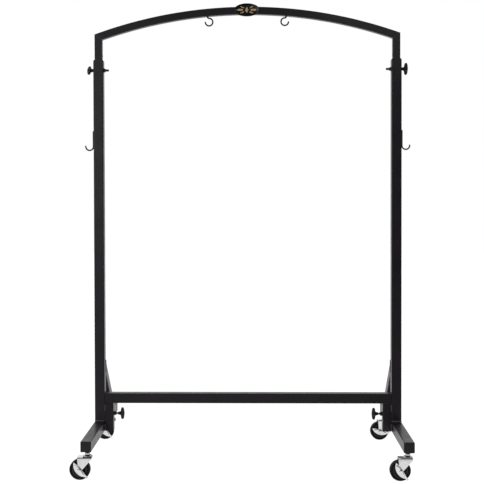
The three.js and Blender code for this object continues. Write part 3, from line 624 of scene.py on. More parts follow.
def upright_tube(side):
    node = f"upright_{side}"
    parts = straight_tube(node, Z_AXIS, tube_corner)
    make_piece(f"upright_tube_{side}", parts, "frame", "powder_coat", [node])


def foot_tube(side):
    """The foot's tube, less the two caps, with a boss under it for each caster stem."""
    node = f"foot_{side}"
    low, high, middle = span(node)
    width = high[0] - low[0]
    centre = (middle[0], middle[1], high[2] - width / 2)
    parts = square_tube(centre, Y_AXIS, X_AXIS, width, tube_corner, plane(low, Y_AXIS), plane(high, Y_AXIS))
    under = span(f"upright_{side}")[0][2] - width
    corners = [[stem_radius, under], [boss_radius, under], [boss_end_radius, low[2]], [stem_radius, low[2]]]
    boss = softened(corners, boss_rounds, True)
    for place in PLACES:
        if place.endswith(side):
            stem = span(f"caster_stem_{place}")[2]
            parts += moved(turned(boss, True), shift=(stem[0], stem[1], 0.0))
    make_piece(f"foot_tube_{side}", parts, "frame", "powder_coat", [node])


def brace_tube(side):
    """The brace lies between the plane of the upright's back and the plane of the foot's top."""
    node = f"brace_{side}"
    low, high, middle = span(node)
    width = high[0] - low[0]
    rise, run = high[2] - low[2], high[1] - low[1]
    along = np.array([0.0, run, -rise]) / math.hypot(run, rise)
    inwards = np.cross(along, X_AXIS)
    centre = np.array([middle[0], low[1], high[2]]) + inwards * math.copysign(width / 2, -inwards[2])
    parts = square_tube(centre, along, X_AXIS, width, tube_corner, plane(low, Y_AXIS), plane(low, Z_AXIS))
    make_piece(f"brace_tube_{side}", parts, "frame", "powder_coat", [node])


def socket_tube(side):
    node = f"crossbar_socket_{side}"
    parts = straight_tube(node, Z_AXIS, leg_corner)
    make_piece(f"socket_tube_{side}", parts, "frame", "powder_coat", [node])


def foot_cap(side, end):
    """A moulded cap: rounded squares whose share of the foot's width follows a profile with a
    square back edge, a rounded front edge and a slight crown."""
    node = f"foot_cap_{end}_{side}"
    low, high, middle = span(node)
    width = high[0] - low[0]
    out = -1 if end == "front" else 1
    seat = (low[1] if out < 0 else high[1]) - out * cap_flange
    profile = softened(cap_side_shares, cap_round_shares)[:-1]
    profile = np.concatenate([profile, cap_crown_shares]) * [1.0, cap_flange / cap_crown_shares[-1][1]]
    points = stacked(profile, square_outline(width, tube_corner))
    parts = moved([sheet_of(points, False, True)], basis(out * Y_AXIS, X_AXIS), (middle[0], seat, middle[2]))
    make_piece(f"cap_{end}_{side}", parts, "frame", "black_plastic", [node])


def mouth_bush(side):
    """A bush with a lip that slopes in to the leg: rounded squares along a closed profile."""
    node = f"sleeve_bush_{side}"
    low, high, middle = span(node)
    leg_low, leg_high, _ = span(f"arch_leg_{side}")
    half = (high[0] - low[0]) / 2
    inner = (leg_high[0] - leg_low[0]) / 2 + bush_gap
    wall = half - bush_inset
    seat = span(f"upright_{side}")[1][2] + bush_gap
    corners = [[inner, low[2]], [wall, low[2]], [wall, seat], [half, seat], [half, high[2] - lip_slope],
               [inner + bush_lip, high[2]], [inner, high[2]]]
    profile = softened(corners, bush_rounds, True)
    outline = square_outline(2 * half, tube_corner) / half
    parts = moved([sheet_of(stacked(profile, outline), True, True)], shift=(middle[0], middle[1], 0.0))
    make_piece(f"mouth_bush_{side}", parts, "frame", "nylon", [node])


def nut_room(node, side):
    """A weld nut's radius, its length, and the middle of its end on the upright."""
    low, high, middle = span(node)
    face = high[0] if side == "right" else low[0]
    return (high[2] - low[2]) / 2, high[0] - low[0], (face, middle[1], middle[2])


def nut_form(corners, rounds, side, seat):
    """A weld nut: a ring turned from its closed profile, which stands on its seat and points
    inwards to the other side frame."""
    return moved(turned(softened(corners, rounds, True), True), basis(-hand(side) * X_AXIS, Z_AXIS), seat)


def cone_nut(side):
    """The weld nut of the height bolt, which narrows in a hollow curve from its weld."""
    node = f"height_nut_{side}"
    radius, length, seat = nut_room(node, side)
    corners = [[cone_bore, 0], [radius, 0], [cone_waist, cone_waist_share * length], [cone_tip, length],
               [cone_bore, length]]
    parts = nut_form(corners, cone_rounds, side, seat)
    ring = arc(seat[1:], radius - cone_weld_inset, 0, 360, cone_weld_steps)[:-1]
    path = np.insert(ring, 0, seat[0] + hand(side) * cone_weld_sink, axis=1)
    parts += weld_bead(path, X_AXIS, radius=cone_weld)
    make_piece(f"cone_nut_{side}", parts, "frame", "powder_coat", [node])


def dome_nut(side):
    """The weld nut of the clamp bolt, with a domed end."""
    node = f"clamp_nut_{side}"
    radius, length, seat = nut_room(node, side)
    corners = [[dome_bore, 0], [radius, 0], [radius, dome_shoulder_share * length], [dome_tip, length],
               [dome_bore, length]]
    parts = nut_form(corners, dome_rounds, side, seat)
    make_piece(f"dome_nut_{side}", parts, "frame", "powder_coat", [node])


def mallet_hook(side):
    """A J of wire: a straight shank, a half circle outwards and a short tip, with two weld runs
    at each side between the shank and the upright."""
    node = f"mallet_hook_{side}"
    low, high, middle = span(node)
    shank = hand(side) * (min(abs(low[0]), abs(high[0])) + hook_wire / 2)
    bend = low[2] + mallet_loop_radius + hook_wire / 2
    start, end = (180, 360) if side == "right" else (0, -180)
    loop = arc((shank + hand(side) * mallet_loop_radius, bend), mallet_loop_radius, start, end)
    top = high[2] - hook_wire / 2
    tip = [[loop[-1, 0], bend + mallet_tip - hook_wire / 2]]
    flat_path = np.concatenate([[[shank, top]], loop, tip])
    parts = round_wire(np.insert(flat_path, 1, middle[1], axis=1), hook_wire / 2, Y_AXIS)
    face = shank - hand(side) * (hook_wire / 2)
    for y in (-shank_weld_aside, shank_weld_aside):
        for share in shank_weld_shares:
            z = bend + share * (top - bend)
            run = [[face, y, z - shank_weld_half], [face, y, z + shank_weld_half]]
            parts += weld_bead(run, Y_AXIS, False, radius=shank_weld)
    make_piece(f"mallet_wire_{side}", parts, "frame", "powder_coat", [node])


def frame_welds(side):
    """Beads round the upright's foot, at both ends of the brace, and up the socket's seams."""
    low, high, middle = span(f"upright_{side}")
    width = high[0] - low[0]
    outline = square_outline(width, tube_corner)
    seam = np.insert(outline + middle[:2], 2, low[2] + weld_seam_lift, axis=1)
    parts = weld_bead(seam, Z_AXIS, radius=weld_seam)
    start, end = low[0] + edge_margin, high[0] - edge_margin
    for face, out in ((low[1], -Y_AXIS), (high[1], Y_AXIS)):
        parts += fillet_weld([start, face, low[2]], [end, face, low[2]], out)
    brace_low, brace_high, _ = span(f"brace_{side}")
    rise, run = brace_high[2] - brace_low[2], brace_high[1] - brace_low[1]
    slant = math.hypot(rise, run)
    tall, deep = width * slant / run, width * slant / rise
    back = outline * [1, tall / width] + [middle[0], brace_high[2] - tall / 2]
    parts += weld_bead(np.insert(back, 1, high[1], axis=1), Y_AXIS)
    base = outline * [1, deep / width] + [middle[0], brace_high[1] - deep / 2]
    parts += weld_bead(np.insert(base, 2, brace_low[2], axis=1), Z_AXIS)
    socket_low, socket_high, _ = span(f"crossbar_socket_{side}")
    seam_x = middle[0] - hand(side) * (width / 2)
    for y in (-1, 1):
        edge = y * (socket_high[1] - socket_weld_inset)
        for shares in socket_weld_shares:
            bottom, top = socket_low[2] + np.array(shares) * (socket_high[2] - socket_low[2])
            parts += weld_bead([[seam_x, edge, bottom], [seam_x, edge, top]], Y_AXIS, False)
    # The beads take a lighter grey than the coat over them: painted highlight.
    make_piece(f"side_welds_{side}", parts, "frame", "powder_coat", own_finish="coated_weld")


def side_frame(side):
    upright_tube(side)
    foot_tube(side)
    brace_tube(side)
    socket_tube(side)
    foot_cap(side, "front")
    foot_cap(side, "rear")
    mouth_bush(side)
    cone_nut(side)
    dome_nut(side)
    mallet_hook(side)
    frame_welds(side)


# Crossbar

def crossbar():
    """The bar is a tube along X; its two stubs hang from it into the sockets."""
    low, high, middle = span("crossbar")
    width = high[1] - low[1]
    centre = (middle[0], middle[1], high[2] - width / 2)
    parts = square_tube(centre, X_AXIS, Y_AXIS, width, tube_corner, plane(low, X_AXIS), plane(high, X_AXIS))
    stub_width = span("arch_leg_left")[1][1] * 2
    stub_top = high[2] - width + tube_wall / 2
    for side in SIDES:
        x = span(f"crossbar_socket_{side}")[2][0]
        parts += square_tube((x, middle[1], low[2]), Z_AXIS, X_AXIS, stub_width, leg_corner,
                             plane(low, Z_AXIS), plane([0, 0, stub_top], Z_AXIS))
    make_piece("crossbar_tube", parts, "frame", "powder_coat", ["crossbar"])


# Arched top frame

def arch_sizes():
    """The arch's corner, its radius r from the half width x and rise h, r = (x^2 + h^2) / 2h,
    its centre's height, half the tube's width, and the direction normal to the mitre."""
    corner_x = span("arch_leg_right")[2][0]
    low, high, _ = span("arch_tube")
    half = (high[1] - low[1]) / 2
    radius = (corner_x ** 2 + arch_rise ** 2) / (2 * arch_rise)
    centre_z = high[2] - half - radius
    end_angle = math.asin(corner_x / radius)
    tilt = math.pi / 4 + end_angle / 2
    corner_z = centre_z + radius - arch_rise
    return corner_x, corner_z, radius, centre_z, half, (math.cos(tilt), -math.sin(tilt))


def arch_tube():
    """A square tube bent to an arc. At radius r the section's point meets the mitre's plane
    n . p = d where r cos(angle - m) = d, with m the angle of n seen from the arc's centre."""
    corner_x, corner_z, radius, centre_z, half, normal = arch_sizes()
    d = normal[0] * corner_x + normal[1] * (corner_z - centre_z)
    share = np.linspace(-arch_bend_share, arch_bend_share, arch_steps + 1)
    share = np.concatenate([[-1, -arch_edge_share], share, [arch_edge_share, 1]])
    rings = []
    for face in tube_faces(2 * half, leg_corner):
        outline = square_outline(*face)
        r = radius + outline[:, 0]
        end = math.atan2(normal[0], normal[1]) - np.arccos(d / r)
        angle = share[:, None] * np.abs(end)[None]
        y = np.broadcast_to(outline[:, 1], angle.shape)
        rings.append(np.stack([r * np.sin(angle), y, centre_z + r * np.cos(angle)], axis=-1))
    parts = [sheet_of(np.concatenate([rings[0], rings[1][::-1]]), True, True)]
    make_piece("arch_bent_tube", parts, "top_frame", "powder_coat", ["arch_tube"])


def arch_leg(side):
    """A leg with a long slot and a round hole above it, through both side walls. Each half of the
    section runs from one wall's middle to the other's. At height z its edges stand back from the
    middle by r cos a at the round ends, where z is the end's centre + r sin a, by r between the
    ends, and not at all elsewhere, where the halves close up."""
    node = f"arch_leg_{side}"
    corner_x, corner_z, _, _, half, normal = arch_sizes()
    low = span(node)[0]
    lowest, highest = joint_named("height_slide")["range_m"]
    bolt_z = joint_named(f"height_knob_turn_{side}")["pos_m"][2]
    hole_z = bolt_z - lowest + 2 * leg_hole_radius + leg_hole_web
    a = np.linspace(0.0, math.pi / 2, rim_steps + 1)
    a = np.concatenate([-a[::-1], a])
    rim = leg_hole_radius * np.sin(a)
    gaps = np.where(np.abs(a) == a[-1], 0.0, leg_hole_radius * np.cos(a))
    openings = ((bolt_z - highest, bolt_z - lowest), (hole_z, hole_z))
    rims = [np.where(np.arange(len(a)) < len(a) / 2, bottom, top) + rim for bottom, top in openings]
    z = np.concatenate([[low[2], low[2] + edge_margin], *rims, [corner_z - 2 * half, corner_z]])
    gap = np.concatenate([[0, 0], gaps, gaps, [0, 0]])
    parts = []
    mirror = np.array([hand(side), 1.0])
    for turn in (1, -1):
        walls = []
        for width, corner in tube_faces(2 * half, leg_corner):
            whole = square_outline(width, corner)
            run = whole[: len(whole) // 2]
            run = np.concatenate([[[width / 2, 0.0]], run, [[-width / 2, 0.0]]])
            section = np.repeat(run[None], len(z), axis=0)
            section[:, 0, 1] = section[:, -1, 1] = gap
            section = section * turn * mirror
            x = corner_x * hand(side) + section[..., 0]
            height = np.broadcast_to(z[:, None], x.shape).copy()
            height[-1] = corner_z - normal[0] / normal[1] * (np.abs(x[-1]) - corner_x)
            walls.append(np.stack([x, section[..., 1], height], axis=-1))
        parts += [sheet_of(walls[0]), sheet_of(walls[1])]
        parts += [sheet_of(np.stack([walls[0][k], walls[1][k]])) for k in (0, -1)]
        for opening in range(len(openings)):
            rows = slice(2 + opening * len(a), 2 + (opening + 1) * len(a))
            parts += [sheet_of(np.stack([walls[0][rows, k], walls[1][rows, k]])) for k in (0, -1)]
    make_piece(f"drilled_leg_{side}", parts, "top_frame", "powder_coat", [node])


def mitre_welds():
    """A low bead round each mitre, on the tube's outline drawn in a little and stretched over
    the mitre's plane."""
    corner_x, corner_z, _, _, half, normal = arch_sizes()
    outline = square_outline(2 * (half - mitre_sink), leg_corner - mitre_sink)
    parts = []
    for sign in (-1, 1):
        x = corner_x + outline[:, 0]
        z = corner_z - normal[0] / normal[1] * outline[:, 0]
        path = np.stack([sign * x, outline[:, 1], z], axis=-1)
        parts += weld_bead(path, np.array([sign * normal[0], 0.0, normal[1]]), radius=weld_mitre)
    # The beads take a lighter grey than the coat over them: painted highlight.
    make_piece("mitre_welds", parts, "top_frame", "powder_coat", own_finish="coated_weld")


def gong_hook(side):
    """A wire that leaves the arch, bends over to the top of a loop and runs round it, open to
    the outside, with a ring of weld at the arch."""
    node = f"gong_hook_{side}"
    low, high, middle = span(node)
    reach = gong_loop_radius + hook_wire / 2
    inner = min(abs(low[0]), abs(high[0]))
    centre = np.array([inner + reach, low[2] + reach])
    neck = centre + [gong_neck_bend, gong_loop_radius + gong_neck_bend]
    bend = arc((centre[0], neck[1]), gong_neck_bend, 0, -90, gong_neck_steps)
    loop = arc(centre, gong_loop_radius, 90, gong_loop_end, gong_loop_steps)
    flat_path = np.concatenate([[[neck[0], high[2] + gong_root]], bend, loop[1:]])
    path = np.insert(flat_path, 1, middle[1], axis=1) * [hand(side), 1, 1]
    parts = round_wire(path, hook_wire / 2, Y_AXIS)
    root = (hand(side) * neck[0], middle[1])
    ring = arc(root, hook_wire / 2 + gong_weld_gap, 0, 360, gong_weld_steps)[:-1]
    parts += weld_bead(np.insert(ring, 2, high[2] - gong_weld_sink, axis=1), Z_AXIS, radius=gong_weld)
    make_piece(f"gong_wire_{side}", parts, "top_frame", "powder_coat", [node])


def badge():
    """A domed oval: rings scaled to the oval, with a rounded edge and rim, and a dome whose
    height falls as one less the square of the share of the radius."""
    low, high, middle = span("badge_plate")
    half_x, half_z = (high[0] - low[0]) / 2, (high[2] - low[2]) / 2
    depth = high[1] - low[1]
    edge = depth - badge_dome
    share = np.linspace(1.0, 0.0, badge_points)
    dome = np.stack([(half_x - badge_rim) * share, edge + badge_dome * (1 - share ** 2)], axis=-1)
    corners = [[0, 0], [half_x - badge_edge, 0], [half_x, badge_edge], [half_x, edge - badge_side_drop],
               [half_x - badge_rim / 2, depth - badge_rim_drop], dome[0], [0, dome[0][1]]]
    profile = np.concatenate([softened(corners, badge_rounds)[:-1], dome])
    points, quads = turned(profile, sides=badge_sides)[0]
    parts = [(points * [1, half_z / half_x, 1], quads)]
    seat = (middle[0], high[1], middle[2])
    make_piece("badge_oval", moved(parts, basis(-Y_AXIS, X_AXIS), seat), "top_frame", "gloss_black",
               ["badge_plate"])


def badge_ornament():
    """Plain gilt leaves about a lozenge. Each is a shallow lens on the dome, whose half width at
    a share u of its half length is its greatest times 1 - |u|^p, turned to its slope and repeated
    in each quarter of the oval that its place names."""
    low, high, middle = span("badge_plate")
    half_x = (high[0] - low[0]) / 2
    depth = high[1] - low[1]
    u = np.linspace(-1, 1, leaf_points)
    a = np.linspace(0, 2 * math.pi, leaf_sides, endpoint=False)
    u, a = np.meshgrid(u, a, indexing="ij")
    parts = []
    for along_x, along_z, slope, half_length, half_width, power in badge_leaves:
        lens = np.stack([half_length * u, half_width * (1 - np.abs(u) ** power) * np.cos(a)], axis=-1)
        lens = lens @ spun(slope)[:2, :2].T + [along_x, along_z]
        for turn_x in (-1, 1) if along_x else (1,):
            for turn_z in (-1, 1) if along_z else (1,):
                x, z = lens[..., 0] * turn_x, lens[..., 1] * turn_z
                share = np.hypot(x, z * badge_aspect) / (half_x - badge_rim)
                lift = depth - badge_dome * share ** 2
                y = lift - leaf_root + leaf_thickness * np.sin(a) * (1 - np.abs(u) ** leaf_end_power)
                parts.append(sheet_of(np.stack([x, z, y], axis=-1), False, True))
    seat = (middle[0], high[1], middle[2])
    make_piece("badge_ornament", moved(parts, basis(-Y_AXIS, X_AXIS), seat), "top_frame", "gloss_black",
               own_finish="gilt")


def top_frame():
    arch_tube()
    mitre_welds()
    badge()
    badge_ornament()
    for side in SIDES:
        arch_leg(side)
        gong_hook(side)


# Knobs

def knob_shape():
    """A two-winged grip on +Z: at share q of the way out along its peanut outline, the depth is a
    superellipse, q = |cos b|^e and height = h |sin b|^e, with h falling towards the tips."""
    out_share, up_share = knob_lobe_shares
    quarter = np.array([[knob_half_span, knob_lobe], [out_share * knob_half_span, knob_lobe * up_share],
                        [knob_waist_share * knob_half_span, knob_waist],
                        [knob_hub * knob_hub_share, knob_hub]])
    upper = np.concatenate([quarter, quarter[::-1] * [-1, 1]])
    corners = np.concatenate([upper, -upper])
    radii = np.array([knob_tip_round_share * knob_lobe, knob_side_round, knob_side_round, knob_side_round])
    radii = np.tile(np.concatenate([radii, radii[::-1]]), 2)
    outline = softened(corners, radii, True)
    b = np.linspace(-math.pi / 2, math.pi / 2, grip_points)[:, None]
    share = np.abs(np.cos(b)) ** knob_squareness
    out = share * np.linalg.norm(outline, axis=1)[None] / knob_half_span
    half = knob_depth / 2 - out * (knob_depth - knob_tip_depth) / 2
    height = half * np.sign(np.sin(b)) * np.abs(np.sin(b)) ** knob_squareness
    flat = share[..., None] * outline[None]
    points = np.concatenate([flat, (knob_neck + knob_depth / 2 + height)[..., None]], axis=-1)
    neck = [[0, 0], [knob_neck_tip, 0], [knob_neck_tip + knob_neck_flare, knob_neck / 2],
            [knob_neck_root, knob_neck + knob_neck_overlap], [0, knob_neck + knob_neck_end]]
    return [sheet_of(points, False, True)] + turned(softened(neck, knob_neck_rounds))


def knob(kind, side, degrees, facing):
    """Places the grip with its wings along local X, turned from upright by the rest angle, and
    its bolt, whose end is cut back to a blunt cone before the thread starts."""
    joint = joint_named(f"{kind}_knob_turn_{side}")
    outward = facing * X_AXIS
    wing = spun(degrees, "X") @ Z_AXIS * [1, facing, 1]
    grip = moved(knob_shape(), basis(outward, wing), joint["pos_m"])
    make_piece(f"{kind}_grip_{side}", grip, joint["child"], "black_plastic", [f"{kind}_knob_{side}"])
    node = f"{kind}_bolt_{side}"
    low, high, middle = span(node)
    radius = (high[2] - low[2]) / 2
    inner, outer = (high[0], low[0]) if facing < 0 else (low[0], high[0])
    end = [[0, 0], [radius - bolt_end_inset, 0], [radius - thread_depth, bolt_end_length],
           [0, bolt_end_depth]]
    parts = threaded(radius, thread_start, abs(outer - inner))
    parts += turned(softened(end, bolt_end_rounds), sides=bolt_sides)
    screw = moved(parts, basis(outward, Z_AXIS), (inner, middle[1], middle[2]))
    make_piece(f"{kind}_screw_{side}", screw, joint["child"], "bolt_steel", [node])


def knobs():
    for side in SIDES:
        knob("height", side, height_knob_turns[side], hand(side))
        knob("clamp", side, clamp_knob_turns[side], -hand(side))


# Casters

def caster_frame(place):
    """The turn about the stem that the wheel's axis shows, the stem's place, and the axle's height."""
    stem = joint_named(f"swivel_{place}")["pos_m"]
    wheel = joint_named(f"wheel_spin_{place}")
    turn = spun(math.degrees(math.atan2(-wheel["axis"][0], wheel["axis"][1])))
    return turn, np.array([stem[0], stem[1], 0.0]), wheel["pos_m"][2]


def on_axle(place, parts):
    """Takes forms made about Z to the caster's axle, with +Z towards the near side, local -Y."""
    turn, seat, axle_z = caster_frame(place)
    return moved(moved(parts, basis(-Y_AXIS, X_AXIS), (-caster_trail, 0.0, axle_z)), turn, seat)


def crown_of(place):
    """The height of the fork's crown: the lower race stands above it."""
    return span(f"caster_fork_{place}")[1][2] - lower_race_rise


def caster_stem(place):
    """The kingpin with its head, the upper race with a lip below and a cone above, and the stem,
    turned in one profile, with a hex nut between the race and the foot."""
    node = f"caster_stem_{place}"
    turn, seat, _ = caster_frame(place)
    low, high, _ = span(node)
    race_low = crown_of(place) + race_gap
    race_top = race_low + race_height
    corners = [[0, low[2]], [kingpin_radius, low[2]], [kingpin_head, low[2] + kingpin_head_low],
               [kingpin_head, low[2] + kingpin_head_high], [kingpin_radius, low[2] + kingpin_head_high],
               [kingpin_radius, race_low + race_recess],
               [race_radius - race_lip_root, race_low + race_recess],
               [race_radius - race_lip, race_low], [race_radius, race_low],
               [race_radius, race_low + race_rim_height], [race_radius - race_cone, race_top],
               [stem_radius, race_top], [stem_radius, high[2]], [0, high[2]]]
    parts = turned(softened(corners, stem_rounds))
    foot = span(f"foot_{place.split('_')[1]}")[0][2]
    parts += hex_nut(nut_flats, race_top - nut_sink, foot - nut_gap)
    # The stem, race and nut are chrome; their darker finish is painted shade, standing in for the foot's
    # dark underside that they mirror.
    make_piece(f"stem_{place}", moved(parts, turn, seat), "frame", "chrome", [node], own_finish="stem_zinc")


def fork_edges(height, depth, axle_z, crown_top, front, rear):
    """How far the sheet reaches to the front and rear at a height on the cheek: along the round
    boss at the axle, then along straight edges that touch it, then upright to the crown, whose
    edges are trimmed back at the skirt's round corners."""
    skirt = crown_top - fork_skirt
    rise = height - axle_z
    boss = np.sqrt(np.maximum(fork_boss ** 2 - rise ** 2, 0.0))
    reach = []
    for sign, corner in ((1, (front, skirt)), (-1, (rear, axle_z + waist_height))):
        dx, dz = corner[0] + caster_trail, corner[1] - axle_z
        touch = math.atan2(dz, dx) - sign * math.acos(fork_boss / math.hypot(dx, dz))
        touch_x, touch_z = fork_boss * math.cos(touch), fork_boss * math.sin(touch)
        line = np.interp(rise, [touch_z, dz], [touch_x, dx])
        reach.append(np.where(rise < touch_z, sign * boss, line) - caster_trail)
    outside = np.maximum(np.abs(depth) - (fork_gap / 2 + fork_plate - skirt_round), 0.0)
    trim = skirt_round - np.sqrt(np.maximum(skirt_round ** 2 - outside ** 2, 0.0))
    on_crown = np.clip((height - skirt) / fork_skirt, 0, 1)
    return reach[0] - trim * on_crown, reach[1] + trim * on_crown


def fork(place):
    """The fork is a sheet bent to a U. Its middle section runs down one cheek, over the crown and
    down the other; at each point of it the sheet spans from the front edge to the rear edge, and
    its two faces lie half a plate each side along the section's normal."""
    turn, seat, axle_z = caster_frame(place)
    crown_top = crown_of(place)
    middle_half = fork_gap / 2 + fork_plate / 2
    middle_top = crown_top - fork_plate / 2
    bend = fork_bend - fork_plate / 2
    boss_z = axle_z - fork_boss + fork_boss * (1 - np.cos(np.linspace(0, math.pi, boss_points)))
    cheek_z = np.concatenate([boss_z, np.linspace(boss_z[-1], middle_top - bend, cheek_points)[1:]])
    cheek = np.insert(cheek_z[:, None], 0, middle_half, axis=1)
    round_over = arc((middle_half - bend, middle_top - bend), bend, 0, 90, fork_bend_steps)[1:]
    crown = np.insert(np.linspace(middle_half - bend, 0, crown_points)[1:, None], 1, middle_top, axis=1)
    half = np.concatenate([cheek, round_over, crown])
    section = np.concatenate([half, half[-2::-1] * [-1, 1]])
    tangent = tangents(section)
    normal = np.stack([tangent[:, 1], -tangent[:, 0]], axis=-1)
    waist = fork_rear + waist_inset
    top, bottom = fork_edges(section[:, 1], section[:, 0], axle_z, crown_top, fork_front, waist)
    widen = np.clip((section[:, 1] - (axle_z + waist_height)) / (crown_top - axle_z - waist_height), 0, 1)
    bottom = np.minimum(bottom, fork_rear + waist_inset * (1 - widen) + (bottom - waist).clip(0))
    share = np.linspace(fork_band_share, 1 - fork_band_share, band_points)
    share = np.concatenate([[0, fork_edge_share], share, [1 - fork_edge_share, 1]])
    x = bottom[None] + share[:, None] * (top - bottom)[None]
    faces = []
    for offset in (fork_plate / 2, -fork_plate / 2):
        yz = np.broadcast_to(section + normal * offset, x.shape + (2,))
        faces.append(np.concatenate([x[..., None], yz], axis=-1))
    parts = [sheet_of(np.concatenate([faces[0], faces[1][::-1]]), True, False)]
    outer = race_radius - lower_race_inset
    below, above = crown_top - lower_race_sink, crown_top + lower_race_rise
    race = [[lower_race_bore, below], [outer, below], [outer, above], [lower_race_bore, above]]
    parts += turned(softened(race, lower_race_round, True), True)
    make_piece(f"fork_{place}", moved(parts, turn, seat), f"caster_swivel_{place}", "chrome",
               [f"caster_fork_{place}"])


def axle(place):
    """A bolt with a domed round head on the near side and a hex nut on the far side."""
    near = fork_gap / 2 + fork_plate + caster_gap + lever_plate + lever_emboss + caster_gap
    far = fork_gap / 2 + fork_plate + caster_gap
    tip = -far - axle_head_height
    head_top = near + axle_head_height
    head = [[0, near], [axle_head, near], [axle_head, near + axle_head_side], [axle_head_crown, head_top],
            [0, head_top]]
    shank = [[0, tip], [axle_radius - axle_end_inset, tip], [axle_radius, tip + axle_end_length],
             [axle_radius, near], [0, near]]
    parts = turned(softened(head, axle_head_rounds))
    parts += turned(softened(shank, axle_shank_rounds), sides=shank_sides)
    parts += hex_nut(2 * axle_head * math.cos(math.pi / 6), -far - axle_nut_height, -far)
    make_piece(f"axle_bolt_{place}", on_axle(place, parts), f"caster_swivel_{place}", "chrome",
               [f"caster_axle_{place}"])


def hub(place):
    """A moulded hub: a boss round the axle, a thin web with ribs on both faces, and a rim that
    the tyre grips. A rib is a rounded section carried straight out along the web."""
    half = [[hub_bore, fork_gap / 2 - hub_clearance], [hub_boss, fork_gap / 2 - hub_clearance],
            [hub_boss_root, hub_web_half], [hub_rim_root, hub_web_half], [hub_rim_inside, hub_rim_half],
            [hub_rim_edge, hub_rim_half], [hub_rim_edge, hub_seat_half], [hub_seat, hub_seat_half]]
    parts = turned(softened(two_sided(half), hub_round, True), True, sides=hub_sides)
    rib = softened([[-rib_low_half, rib_low], [rib_low_half, rib_low], [rib_high_half, rib_high],
                    [-rib_high_half, rib_high]], rib_round, True)
    points = np.repeat(np.insert(rib, 0, 0.0, axis=1)[None], rib_points, axis=0)
    points[..., 0] = np.linspace(rib_start, rib_end, rib_points)[:, None]
    for sign in (-1, 1):
        for degrees in range(0, 360, rib_angle):
            parts += moved([capped(points * [1, 1, sign])], spun(degrees))
    make_piece(f"moulded_hub_{place}", on_axle(place, parts), f"caster_wheel_{place}", "black_plastic",
               [f"wheel_hub_{place}"])


def tyre(place):
    """A solid tyre: a closed profile with rounded shoulders, turned about the axle. It stands on
    the floor, so its tread's radius is the axle's height."""
    tread = caster_frame(place)[2]
    half = [[tyre_bore, tyre_bead_half], [tyre_bead, tyre_bead_half],
            [tread - tyre_side_drop, tyre_width / 2], [tread - tyre_shoulder_drop, tyre_shoulder_half],
            [tread, tyre_tread_half]]
    profile = softened(two_sided(half), tyre_rounds + tyre_rounds[::-1], True)
    parts = on_axle(place, turned(profile, True, sides=tyre_sides))
    make_piece(f"solid_tyre_{place}", parts, f"caster_wheel_{place}", "rubber_tyre", [f"wheel_tyre_{place}"])


def lever_leaf():
    """A leaf between two arcs through its tips, the one above standing back and the one below
    belly away from the tips' line, each the arc h(x) = sqrt(R^2 - x^2) - (R - h) with
    R = (l^2 + h^2) / 2h. It is embossed inside a smaller leaf and pressed in round the axle."""
    u = np.sin(np.linspace(-math.pi / 2, math.pi / 2, lever_points[0]))[:, None]
    v = np.linspace(-1, 1, lever_points[1])[None]
    x = u * lever_half_length * np.ones_like(v)
    edges = []
    for height in (lever_belly, lever_back):
        bow = (lever_half_length ** 2 + height ** 2) / (2 * height)
        edges.append(np.sqrt(bow ** 2 - x ** 2) - (bow - height))
    y = lever_rise - edges[0] * (1 - v) / 2 + edges[1] * (1 + v) / 2
    inner = (np.abs(x) / (lever_half_length * emboss_share)) ** 2 + (np.abs(v) / emboss_share) ** 2
    raised = np.clip((emboss_foot_share - inner) / emboss_slope_share, 0, 1)
    raised = raised * raised * (3 - 2 * raised)
    dish = np.clip(1 - np.abs(np.hypot(x, y) - dish_radius) / dish_half_width, 0, 1)
    rounding = lever_edge_drop * np.clip((np.abs(v) - lever_flat_share) / lever_edge_share, 0, 1) ** 2
    top = lever_plate + lever_emboss * raised - dish_depth * dish - rounding
    upper = np.stack([x, y, top], axis=-1)
    lower = np.stack([x, y, np.zeros_like(top)], axis=-1)[:, ::-1]
    return sheet_of(np.concatenate([upper, lower], axis=1), False, True)


def lever_tab(tread):
    """The strip at the lever's lower tip: a rounded section carried along the plate, round a
    small bend and in over the tread."""
    inner = tread + tab_gap
    centre = (inner - tab_bend + lever_plate / 2, lever_plate / 2 - tab_bend)
    bend = arc(centre, tab_bend, 90, 0, tab_bend_steps)
    bend = np.concatenate([[[lever_half_length - tab_start, lever_plate / 2]], bend,
                           [[inner + lever_plate / 2, lever_plate - tab_reach]]])
    corners = [[-tab_half_width, -tab_half_thickness], [tab_half_width, -tab_half_thickness],
               [tab_half_width, tab_half_thickness], [-tab_half_width, tab_half_thickness]]
    strip = softened(corners, tab_round, True) + [lever_rise, 0]
    tangent = tangents(bend)
    across = np.stack([-tangent[:, 1], tangent[:, 0]], axis=-1)
    flat = bend[:, None] + across[:, None] * strip[None, :, 1:2]
    beside = np.broadcast_to(strip[:, 0], flat.shape[:2])
    return capped(np.stack([flat[..., 0], beside, flat[..., 1]], axis=-1))


def lever(place):
    """The brake lever on the near cheek, turned about the axle to the slope it is shown at."""
    parts = [lever_leaf(), lever_tab(caster_frame(place)[2])]
    parts = moved(parts, shift=(0, 0, fork_gap / 2 + fork_plate + caster_gap))
    parts = on_axle(place, moved(parts, spun(-lever_slopes[place])))
    make_piece(f"brake_{place}", parts, f"caster_brake_{place}", "chrome", [f"brake_lever_{place}"])


def casters():
    for place in PLACES:
        caster_stem(place)
        fork(place)
        axle(place)
        hub(place)
        tyre(place)
        lever(place)


# Finishes

mottle_detail = 4.0
mottle_roughness = 0.55
mottle_spread = (0.32, 0.68)
ripple_detail = 1.0
grain_detail = 2.0
grain_ratio = 4.3
sheen_ratio = 2.3


